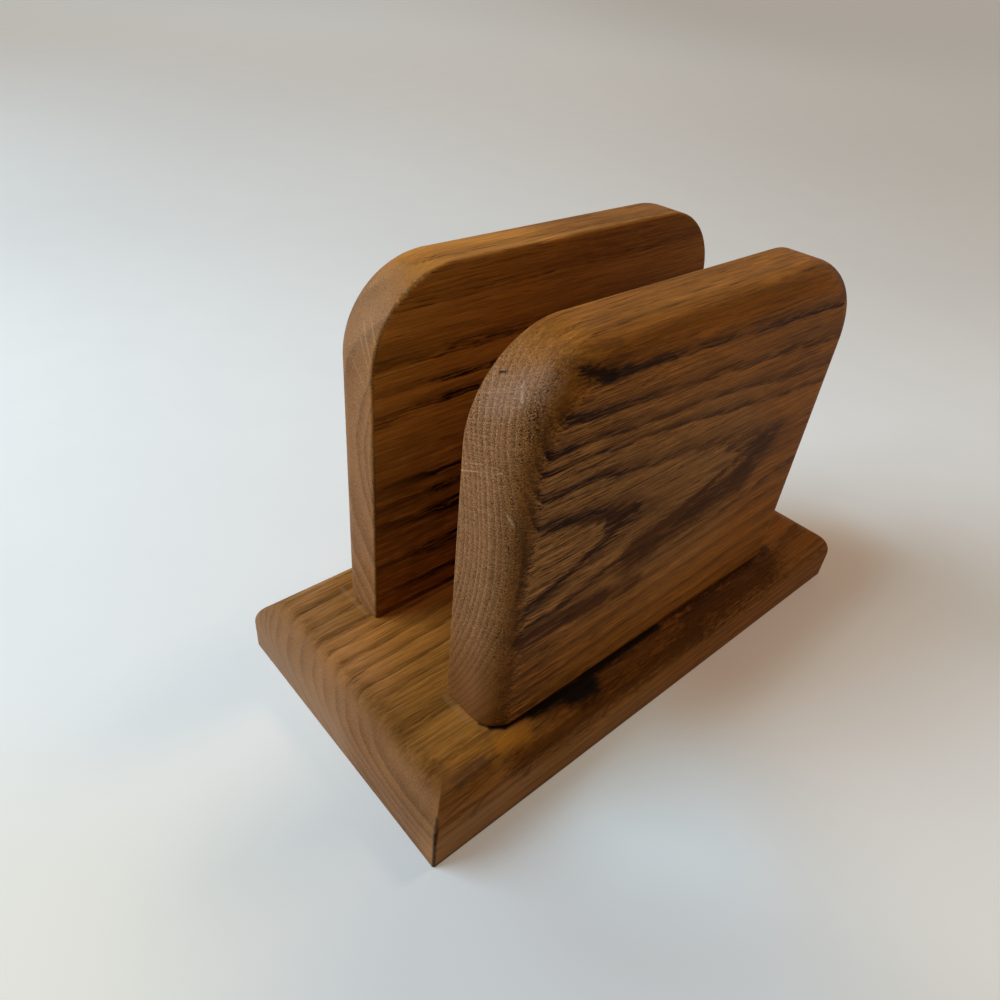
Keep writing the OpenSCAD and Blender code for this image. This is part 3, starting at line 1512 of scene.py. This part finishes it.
    def wear_edges(self, shell: Shell) -> None:
        """Presses each chip in towards the middle of the board.

        The dent is depth x e^-(distance / radius)^2.

        Args:
            shell: the board's points, changed in place.
        """
        middle = np.array([self.shift, self.side.value * (self.slot_w + self.thickness) / 2,
                           self.foot_z + self.height / 2])
        for points in shell.points:
            for chip in self.chips:
                off = np.linalg.norm(points - np.array(chip.centre), axis=1)
                inward = middle - points
                inward /= np.linalg.norm(inward, axis=1)[:, None]
                points += inward * (chip.depth * np.exp(-((off / chip.radius) ** 2)))[:, None]


@dataclass
class WoodScrew:
    """One countersunk wood screw with a cross recess, driven from below.

    Attributes:
        sizes, place, node: its sizes, its x and y, and its node in the frame.
        rim_ease: how far the rim's lower edge is eased, inwards and upwards.
        ring_step: distance between two rings of points up the thread.
        tip_least, tip_power: the bluntness and the bulge of the tip.
        thread_in, thread_out: lengths over which the thread grows and dies away.
        ridge_slope: how steep the thread's ridge is.
        sides: points round each ring.
        recess_over: how far the recess's cutter stands out of the head.
        recess_shares, recess_scales: the depths of its levels as shares of the
            recess, and how wide the cross is there, first of all outside.
        recess_taper: how much less an arm's width shrinks than its length.
    """

    sizes: ScrewSizes
    place: Place
    node: str
    rim_ease: tuple[float, float] = (0.15, 0.12)
    ring_step: float = 0.12
    tip_least: float = 0.02
    tip_power: float = 0.8
    thread_in: float = 2.0
    thread_out: float = 3.0
    ridge_slope: float = 2.6
    sides: int = 40
    recess_over: float = 0.5
    recess_shares: tuple[float, ...] = (0.0, 0.75, 1.0)
    recess_scales: tuple[float, ...] = (1.08, 1.0, 0.72, 0.3)
    recess_taper: float = 0.45

    def outline(self) -> tuple[np.ndarray, np.ndarray, np.ndarray]:
        """Draws the screw from its head to its point.

        A rim, a cone, a plain shank, then a root that carries the thread and
        tapers to the point. The thread dies away at both of its ends.

        Returns:
            Radius, height and thread height of each point.
        """
        size = self.sizes
        ease_in, ease_up = self.rim_ease
        head = np.array([[0.0, 0.0], [size.head_d / 2 - ease_in, 0.0], [size.head_d / 2, ease_up],
                         [size.head_d / 2, size.rim_h], [size.shank_d / 2, size.head_h],
                         [size.shank_d / 2, size.shank_l]])
        z = np.arange(size.shank_l + size.neck, size.length, self.ring_step)
        left = np.clip((size.length - z) / size.tip_l, self.tip_least, 1.0)
        root = np.append(size.root_d / 2 * left ** self.tip_power, 0.0)
        z = np.append(z, size.length)
        start = np.clip((z - size.shank_l) / self.thread_in, 0, 1)
        stop = np.clip((size.length - z) / self.thread_out, 0, 1)
        radius = np.concatenate([head[:, 0], root])
        height = np.concatenate([head[:, 1], z])
        thread = np.concatenate([np.zeros(len(head)), size.thread_h * start * stop])
        return radius, height, thread

    def build(self, material: bpy.types.Material) -> bpy.types.Object:
        """Builds and dresses the screw.

        The thread is the root radius plus a ridge that climbs one step a turn:
        ridge = thread height x (1 - slope x distance from the crest), at least 0.

        Args:
            material: the screw's steel.

        Returns:
            The finished piece.
        """
        size = self.sizes
        radius, height, thread = self.outline()
        turns = np.linspace(0, 2 * math.pi, self.sides, endpoint=False)
        climb = height[:, None] / size.thread_step - turns / (2 * math.pi)
        ridge = np.clip(1 - self.ridge_slope * np.abs(climb - np.round(climb)), 0, 1)
        full = radius[:, None] + thread[:, None] * ridge
        rise = np.broadcast_to(height[:, None] + size.sink, full.shape)
        shell = Shell()
        grid = np.stack([full * np.cos(turns), full * np.sin(turns), rise], axis=-1)
        shell.add(grid, closed=True)
        piece = size.moved(shell, self.place, self.node.replace("screw", "wood_screw"))
        cut_away(piece, [self.recess()])
        finish_piece(piece, material, self.node)
        return piece

    def recess(self) -> bpy.types.Object:
        """Makes the shape cut into the head.

        Each level is the twelve corners of a cross, three of them turned four
        times, and the cross narrows with depth.

        Returns:
            The cutter.
        """
        size = self.sizes
        depths = [-self.recess_over, *(size.drive_depth * share for share in self.recess_shares)]
        levels = []
        for depth, scale in zip(depths, self.recess_scales):
            arm = size.drive_l / 2 * scale
            half = size.drive_w / 2 * (1 - self.recess_taper * (1 - scale))
            for turn in np.arange(4) * math.pi / 2:
                cos, sin = math.cos(turn), math.sin(turn)
                levels += [(cos * x - sin * y, sin * x + cos * y, size.sink + depth)
                           for x, y in ((arm, -half), (arm, half), (half, half))]
        grid = np.array(levels).reshape(len(depths), -1, 3)
        shell = Shell()
        shell.add(grid, closed=True)
        shell.cap(grid[0], (0, 0, grid[0, 0, 2]))
        shell.cap(grid[-1], (0, 0, grid[-1, 0, 2]))
        return size.moved(shell, self.place, "recess_cutter")


def seen_directly(graph: Graph) -> Value:
    """Tells what the camera sees from what only lights the scene.

    Args:
        graph: the material's graph.

    Returns:
        1 for what is seen, also by reflection or through glass, and else 0.
    """
    path = graph.add("ShaderNodeLightPath").outputs
    seen = Value(graph, path["Is Camera Ray"]) + path["Is Glossy Ray"]
    return (seen + path["Is Transmission Ray"]).at_most(1.0)


@dataclass(frozen=True)
class SoftLight:
    """One square soft light, in metres and watts."""

    name: str
    place: Point
    size: float
    power: float
    colour: Hue


@dataclass(frozen=True)
class Tone:
    """A soft round patch of painted light and shade on the table, in metres."""

    centre: Place
    outer: float
    inner: float
    amount: float
    colour: Colour

    def mask(self, x: Value, y: Value) -> Value:
        """Finds how strong the patch is.

        Args:
            x, y: the place on the table.

        Returns:
            The amount within inner, falling to 0 at outer.
        """
        off_x, off_y = x - self.centre[0], y - self.centre[1]
        off = (off_x * off_x + off_y * off_y).power(0.5)
        return off.step(self.outer, self.inner) * self.amount


@dataclass
class Studio:
    """The pale table, the two soft lights and the camera, in metres.

    Attributes:
        lights, aim: the lights, and the point that they face.
        tones: patches of painted light and shade on the table, laid in this order.
        dull: a patch of painted shade where the table is darker.
        table_size: length of the table's sides.
        look: the way that the camera looks, flat on the table.
        lens, sensor: the camera's focal length and sensor width, in mm.
        near_clip: the nearest distance that the camera sees.
        place, turn, shift: the camera's place, its turn in degrees and its shift.
    """

    lights: tuple[SoftLight, ...] = (
        SoftLight("window", (-0.83, 0.61, 0.76), 0.83, 19.5, (0.66, 0.86, 1.0)),
        SoftLight("room", (0.94, -0.16, 1.43), 0.3, 3.9, (1.0, 0.72, 0.46)),
    )
    aim: Point = (0.0, 0.0, 0.06)
    tones: tuple[Tone, ...] = (
        Tone((-0.08, -0.083), 0.11, 0.03, 0.9, linear(184, 190, 196)),
        Tone((-0.03, -0.063), 0.048, 0.012, 0.9, linear(208, 220, 226)),
        Tone((0.05, -0.1), 0.085, 0.02, 0.5, linear(255, 255, 255)),
    )
    dull: Tone = Tone((-0.055, -0.073), 0.042, 0.008, 0.12, linear(0, 0, 0))
    table_size: float = 60.0
    look: Place = (0.644, 0.765)
    lens: float = 27.2403
    sensor: float = 36.0
    near_clip: float = 0.01
    place: Point = (-0.149331, -0.114581, 0.179139)
    turn: Point = (53.5546, -3.8862, -40.1186)
    shift: Place = (0.020125, -0.003383)

    def build(self) -> None:
        """Lays the table, hangs the lights and sets the camera."""
        self.lay_table()
        for light in self.lights:
            self.hang_light(light)
        self.light_air()
        self.set_camera()

    def lay_table(self) -> None:
        """Makes the table top, a plain pale sheet with a faint tooth."""
        half = self.table_size / 2
        corners = [(-half, -half, 0), (half, -half, 0), (half, half, 0), (-half, half, 0)]
        mesh = bpy.data.meshes.new("table_top")
        mesh.from_pydata(corners, [], [(0, 1, 2, 3)])
        table = bpy.data.objects.new("table_top", mesh)
        bpy.context.collection.objects.link(table)
        mesh.materials.append(self.make_table_finish())

    def make_table_finish(self) -> bpy.types.Material:
        """Makes the table's material.

        Away is how far a place lies beyond the object as the camera looks, and
        across how far to its right. The tone follows the light and the object's
        reflection in the satin top: cool on the left, warm along the base's
        front, darker far off, and a little bluer in the far right corner.

        Returns:
            The material, which also glows a little for the camera alone.
        """
        material, graph = new_material("pale_table")
        x, y, z = graph.split(graph.add("ShaderNodeTexCoord").outputs["Object"])
        look_x, look_y = self.look
        away, across = x * look_x + y * look_y, x * look_y - y * look_x
        front = x.step(-0.02, 0.03) * x.step(0.14, 0.09) * y.step(-0.005, -0.04)
        sides = across.step(0.0, 0.4) * 0.1 + across.step(-0.1, -0.35) * 0.07 + 0.17
        dim = away.step(0.08, 0.4) * away.step(1.6, 0.5) * sides
        mottle = graph.noise_value(graph.vector(x * 30.0, y * 30.0, z), 3.0)
        colour = graph.mix(mottle, linear(222, 222, 221), linear(216, 216, 216))
        colour = graph.mix(away.step(-0.03, -0.11) * 0.9, colour, linear(219, 211, 199))
        for tone in self.tones:
            colour = graph.mix(tone.mask(x, y), colour, tone.colour)
        colour = graph.mix(y.step(-0.076, -0.046) * front, colour, linear(189, 162, 131))
        colour = graph.mix(y.step(-0.068, -0.047) * front, colour, linear(181, 145, 107))
        corner = across.step(0.1, 0.5) * away.step(0.3, 0.9)
        colour = graph.mix(corner * 0.15, colour, linear(120, 150, 175))
        colour = graph.mix(dim.at_least(self.dull.mask(x, y)), colour, self.dull.colour)

        far = away.step(0.6, 2.0) * (1.0 - across.step(-0.6, 1.0) * 0.75)
        glow = graph.fill(graph.add("ShaderNodeEmission"), {
            "Color": graph.mix(far, linear(214, 200, 184), linear(205, 209, 206)),
            "Strength": seen_directly(graph) * (far * 0.19 + 0.26)})
        both = graph.add("ShaderNodeAddShader")
        graph.join(graph.surface(Base_Color=colour, Roughness=0.6), both.inputs[0])
        graph.join(glow.outputs["Emission"], both.inputs[1])
        graph.show(both.outputs["Shader"])
        return material

    def hang_light(self, light: SoftLight) -> None:
        """Hangs one soft light so that it faces the object.

        Args:
            light: the light's sizes and place.
        """
        source = bpy.data.lights.new(light.name, "AREA")
        source.shape = "SQUARE"
        source.size = light.size
        source.energy = light.power
        source.color = light.colour
        lamp = bpy.data.objects.new(light.name, source)
        lamp.location = light.place
        back = Vector(light.place) - Vector(self.aim)
        lamp.rotation_euler = back.to_track_quat("Z", "Y").to_euler()
        bpy.context.collection.objects.link(lamp)

    def light_air(self) -> None:
        """Gives the air round the table an even, weak, pale light."""
        world = bpy.data.worlds.new("room_air")
        world.use_nodes = True
        graph = Graph(world.node_tree)
        air = graph.add("ShaderNodeBackground")
        graph.join(linear(232, 220, 206), air.inputs["Color"])
        graph.join(seen_directly(graph) * 0.6 + 0.2, air.inputs["Strength"])
        output = graph.add("ShaderNodeOutputWorld")
        graph.join(air.outputs["Background"], output.inputs["Surface"])
        bpy.context.scene.world = world

    def set_camera(self) -> None:
        """Stands the camera where the photograph was taken from."""
        camera = bpy.data.cameras.new("photo_view")
        camera.lens = self.lens
        camera.sensor_width = self.sensor
        camera.shift_x, camera.shift_y = self.shift
        camera.clip_start = self.near_clip
        stand = bpy.data.objects.new("photo_view", camera)
        stand.location = self.place
        stand.rotation_euler = [math.radians(angle) for angle in self.turn]
        bpy.context.collection.objects.link(stand)
        bpy.context.scene.camera = stand


# The object's finishes, with the light and shade painted into them

FRONT_OAK = OakFinish(
    name="oak_front",
    trunk=Trunk(pith_y=66.0, pith_z=71.0, drift_y=0.0198, drift_z=0.0, out_y=-1.0, out_z=0.0,
                wander=1.6, seed=3, near=74.0, far=122.0, ring_gap=1.6, calm=0.62,
                ring_lines=(96.5, 98.1, 99.7, 100.8, 102.1, 103.1, 104.9, 107.7, 110.4, 112.5)),
    pale=linear(181, 110, 42),
    dark=linear(104, 60, 25),
    pore=linear(42, 20, 13),
    sawn=linear(108, 66, 37),
    fleck=linear(206, 156, 112),
    # Painted shade: this darker colour also covers the tops, which darkens them.
    worn=linear(127, 76, 26),
    top_shading=0.85,
    rows_fade=(22.0, 58.0),
    tint=linear(186, 128, 72),
    tinted=(Patch((-58, -34, 78), (0, -34, 68), 46.0, 0.9, 0.0),),
    line=1.15,
    fine=0.6,
    hatch=0.85,
    soft_pore=linear(60, 33, 14),
    heavy=(
        Patch((-50, -34, 79), (-24, -34, 73), 4.5, 0.5, 0.2),
        Patch((-50, -34, 64), (-24, -34, 72), 4.5, 0.5, 0.2),
    ),
    rough_end=(-58.0, -18.0),
    faint_below=52.0,
    faint_above=113.0,
    shades=(
        Patch((-20, -34, 57.5), (24, -34, 63), 9.0, 1.3, 0.3),
        Patch((24, -34, 65), (34, -34, 74), 7.5, 0.9, 0.3),
        Patch((-57, -34, 49.2), (-30, -34, 48.0), 4.4, 1.3, 0.25),
        Patch((-40, -34, 47.5), (-16, -34, 46.0), 3.8, 0.9, 0.5),
        Patch((-46, -34, 54.3), (-24, -34, 58.8), 1.7, 1.1, 0.4),
        Patch((-24, -34, 58.8), (-2, -34, 64.2), 1.9, 1.2, 0.4),
        Patch((-2, -34, 64.2), (18, -34, 71.0), 1.7, 1.1, 0.7),
        Patch((18, -34, 71.0), (30, -34, 75.5), 2.0, 1.1, 0.7),
        Patch((-60, -34, 59.0), (-44, -34, 64.0), 1.5, 1.0, 0.6),
        Patch((-44, -34, 64.0), (-29, -34, 71.0), 1.7, 1.2, 0.6),
        Patch((-48, -34, 79.6), (-24, -34, 73.6), 2.0, 1.2, 0.4),
        Patch((-33, -34, 73.6), (-25, -34, 73.0), 3.2, 1.2, 0.6),
    ),
    marks=(
        Mark((-54, -31.5, 110), (-44, -31.0, 117.8), 4.5, 0.45, 0.5, linear(146, 86, 16)),
        Mark((-40, -32.2, 118.4), (30, -32.2, 118.4), 2.8, 0.4, 0.7, linear(128, 74, 12)),
        Mark((-50, -32.8, 116.6), (-38, -34.2, 113.4), 4.0, 0.5, 0.5, linear(52, 28, 14)),
        Mark((-49.5, -33.0, 116.0), (-42, -34.2, 113.4), 2.2, 0.9, 0.8, linear(26, 13, 8)),
        Mark((-42, -34.2, 113.2), (-22, -34.2, 112.0), 1.1, 0.5, 0.9, linear(38, 18, 11)),
        Mark((-47, -30.4, 118.8), (-38, -31.4, 118.2), 1.8, 0.35, 0.7, linear(60, 34, 14)),
        Mark((-57.4, -25.5, 113.1), (-58.1, -25.8, 111.9), 0.4, 0.35, 0.6, linear(196, 160, 130)),
        # Painted highlight: a pale pinkish sheen on the rounded upper corner.
        Mark((-61, -22, 108.5), (-56.5, -28, 113), 6.5, 0.13, 0.6, linear(182, 148, 130)),
        Mark((-64.2, -16.4, 90.0), (-63.9, -28.7, 96.0), 0.25, 0.5, 0.3, linear(196, 160, 128)),
        Mark((-64.2, -18.0, 92.6), (-64.1, -23.5, 95.4), 0.22, 0.25, 0.5, linear(190, 152, 120)),
        Mark((-57.9, -19.3, 112.2), (-57.6, -20.3, 112.6), 0.5, 0.9, 0.2, linear(40, 22, 14)),
        Mark((-58.1, -25.6, 111.8), (-59.6, -27.6, 110.0), 0.45, 0.35, 0.9, linear(196, 160, 130)),
        Mark((-63.0, -30.0, 87.0), (-62.2, -31.7, 84.0), 0.45, 0.5, 0.7, linear(196, 160, 126)),
    ),
)

REAR_OAK = OakFinish(
    name="oak_rear",
    trunk=Trunk(pith_y=-19.0, pith_z=75.0, drift_y=-0.01, drift_z=0.0, out_y=1.0, out_z=0.0,
                wander=3.0, seed=8, near=20.0, far=90.0,
                ring_lines=(33.0, 36.1, 38.3, 41.5, 50.4, 59.0, 64.4)),
    pale=linear(188, 120, 48),
    dark=linear(112, 62, 20),
    pore=linear(22, 10, 4),
    sawn=linear(126, 81, 49),
    fleck=linear(208, 162, 122),
    # Painted shade: the tops take some of this duller colour.
    worn=linear(176, 114, 58),
    top_shading=0.3,
    line=0.55,
    fine=0.4,
    rows=0.5,
    face_ends=(0.62, 0.1),
    faint_above=100.0,
    shades=(
        # Painted shade: the inner face darker in the slot, most low down, and the right of the top
        # dimmer.
        Patch((-70, 16, 40), (0, 16, 40), 56.0, 0.85, 0.0),
        Patch((4, 24, 121), (62, 26, 116), 17.0, 0.6, 0.2),
    ),
    heavy=(
        Patch((-34, 16, 83), (-38, 16, 20), 24.0, 0.95, 0.2),
    ),
    marks=(
        Mark((-52.3, 16.8, 117.0), (-51.8, 17.2, 117.2), 0.8, 0.4, 0.8, linear(206, 148, 88)),
        Mark((-55.3, 16.8, 115.0), (-54.8, 17.2, 115.3), 0.9, 0.4, 0.8, linear(206, 148, 88)),
        Mark((-57.0, 16.8, 113.2), (-56.6, 17.2, 113.6), 0.7, 0.4, 0.8, linear(206, 148, 88)),
        # Painted highlight: a warm pale sheen on the rounded upper corner.
        Mark((-56, 25, 116), (-62, 25, 106), 10.0, 0.12, 0.2, linear(214, 160, 120)),
        Mark((-61.6, 23.5, 107.5), (-63.9, 17.0, 100.5), 0.5, 0.18, 0.6, linear(214, 168, 126)),
        Mark((-62.8, 22.5, 104.0), (-64.1, 17.5, 98.5), 0.4, 0.15, 0.6, linear(214, 168, 126)),
        Mark((-60.6, 22.0, 109.4), (-62.5, 17.0, 104.6), 0.4, 0.18, 0.6, linear(214, 168, 126)),
        Mark((-64.1, 25.0, 99.0), (-64.2, 19.0, 93.0), 0.5, 0.1, 0.6, linear(214, 168, 126)),
    ),
)

REAR_CHIPS = (
    Chip((-52.2, 16.5, 116.9), 0.9, 0.5),
    Chip((-55.1, 16.5, 114.9), 1.1, 0.6),
    Chip((-56.9, 16.5, 113.2), 0.8, 0.4),
    Chip((-49.9, 16.5, 118.0), 0.7, 0.3),
)

BASE_OAK = OakFinish(
    name="oak_base",
    trunk=Trunk(pith_y=-27.5, pith_z=64.0, drift_y=0.05, drift_z=0.0, out_y=0.0, out_z=-1.0,
                wander=2.5, seed=5, near=30.0, far=110.0,
                ring_lines=(46.2, 50.5, 53.2, 56.4, 59.3, 63.3, 66.5, 71.0, 76.6, 82.0)),
    pale=linear(160, 101, 42),
    dark=linear(92, 51, 9),
    pore=linear(48, 25, 10),
    sawn=linear(126, 82, 50),
    fleck=linear(206, 160, 122),
    worn=linear(176, 124, 74),
    tint=linear(170, 113, 64),
    tinted=(
        # Painted light: the lower front side lighter towards the left, as lit from the table
        # below.
        Patch((-89, -48, 8), (-60, -48, 8), 12.0, 1.0, 0.1),
        Patch((-88, 8, 19), (-82, 44, 19), 28.0, 1.0, 0.1),
        Patch((-88, -44, 19), (-88, 0, 19), 15.0, 0.3, 0.1),
    ),
    line=0.55,
    fine=0.42,
    side_line=0.45,
    rows=0.3,
    face_ends=(0.6, 0.06),
    soft_pore=linear(52, 28, 11),
    shades=(
        # Painted shade: darker along the front strip of the top, most in front of and right of the
        # front upright, along a band of the rounded front edge, and along the rounded edge of the
        # left end.
        Patch((-82, -37.0, 20.5), (-60, -37.0, 20.5), 9.0, 0.6, 0.5),
        Patch((-34, -40, 21.5), (8, -40, 21.5), 10.0, 0.6, 0.3),
        Patch((20, -39.5, 20), (48, -39.5, 20), 13.0, 0.7, 0.6),
        Patch((14, -39.5, 20), (56, -39.5, 20), 11.0, 0.7, 0.8),
        Patch((-62, -42.6, 15.4), (12, -42.6, 15.4), 5.2, 0.75, 0.5),
        Patch((-83, -33, 18.6), (-83, -3, 18.6), 6.5, 0.5, 0.3),
        Patch((-83, 3, 18.6), (-83, 40, 18.6), 6.5, 0.28, 0.3),
    ),
    marks=(
        # Painted light: the far half of the left end lighter, nearer the window.
        Mark((-89, 44, 4), (-89, 2, 4), 16.0, 0.3, 0.1, linear(176, 136, 104)),
        # Painted light: the lower front side lighter, most towards the left, as lit from the table
        # below.
        Mark((-84, -44.5, 4.5), (-68, -44.5, 4.5), 10.0, 0.45, 0.1, linear(190, 130, 72)),
        Mark((-60, -44.5, 4.5), (6, -44.5, 4.5), 10.0, 0.3, 0.1, linear(186, 118, 50)),
        Mark((22, -44.5, 4.5), (89, -44.5, 4.5), 10.0, 0.16, 0.1, linear(186, 118, 50)),
        # Painted shade: a dark orange band along the rounded front edge.
        Mark((-60, -42.6, 15.4), (16, -42.6, 15.4), 3.6, 0.4, 0.8, linear(84, 42, 2)),
        # A dark stain at the front upright's foot, with painted contact shadow along the foot and
        # round its left corner.
        Mark((-50, -34.6, 19), (-31.0, -36.6, 19), 4.4, 1.0, 0.24, linear(18, 9, 3)),
        Mark((-38, -37.6, 19), (-31.5, -38.4, 19), 5.3, 1.0, 0.18, linear(14, 7, 2)),
        Mark((-30, -34.9, 19), (0, -34.7, 19), 3.2, 1.0, 0.26, linear(22, 11, 4)),
        Mark((0, -33.9, 19), (60, -34.1, 19), 3.0, 0.65, 0.6, linear(36, 18, 4)),
        Mark((-63.4, -29.6, 19), (-61.9, -32.0, 19), 1.0, 0.8, 0.1, linear(22, 10, 4)),
        Mark((-61.9, -32.0, 19), (-59.0, -33.9, 19), 1.5, 1.0, 0.1, linear(18, 8, 3)),
        Mark((-59.0, -33.9, 19), (-50, -34.6, 19), 1.7, 1.0, 0.1, linear(18, 8, 3)),
        Mark((-65.3, -17.5, 19), (-65.4, -27.0, 19), 1.4, 0.12, 0.5, linear(178, 140, 104)),
        Mark((-65.3, 20.0, 19), (-65.3, 33.0, 19), 1.1, 0.2, 0.5, linear(178, 136, 98)),
        Mark((-78, -38.6, 18.5), (-70, -38.4, 18.8), 2.6, 0.5, 0.7, linear(64, 40, 30)),
        Mark((-63, -37.6, 19.0), (-56, -38.6, 19.0), 3.4, 0.5, 0.6, linear(178, 106, 24)),
        # Painted contact shadow along the bottom of the front side.
        Mark((-89, -44.5, 0.0), (89, -44.5, 0.0), 1.5, 0.6, 0.4, linear(30, 16, 7)),
        Mark((-84.5, -40.0, 18.0), (-80.5, -36.0, 19.0), 5.0, 0.4, 0.5, linear(122, 76, 38)),
        Mark((-88.9, -44.4, 0.0), (-88.9, -44.4, 10.5), 0.9, 0.75, 0.3, linear(44, 26, 15)),
        Mark((-88.9, -44.4, 10.5), (-88.2, -43.7, 12.9), 0.9, 0.75, 0.3, linear(44, 26, 15)),
        Mark((-88.2, -43.7, 12.9), (-86.7, -42.2, 15.7), 0.9, 0.6, 0.4, linear(44, 26, 15)),
    ),
)


def main() -> None:
    """Builds the holder piece by piece, then the table, lights and camera."""
    logging.basicConfig(level=logging.INFO, format="%(message)s")
    effects = {"trunk": make_trunk_effect(), "oak": make_oak_effect(), "mark": make_mark_effect()}
    sizes, steel = ScrewSizes(), SteelFinish().make()
    places: list[Place] = []
    for side, finish, chips in ((Side.FRONT, FRONT_OAK, ()), (Side.REAR, REAR_OAK, REAR_CHIPS)):
        board = UprightBoard(side, sizes, chips=chips)
        board.build(finish.make(effects))
        places += board.places
        for place, end in zip(board.places, ("left", "right")):
            WoodScrew(sizes, place, f"{side.name.lower()}_screw_{end}").build(steel)
    BaseBoard(sizes, places).build(BASE_OAK.make(effects))
    Studio().build()
    bpy.context.scene.view_settings.view_transform = "Standard"


if __name__ == "__main__":
    main()
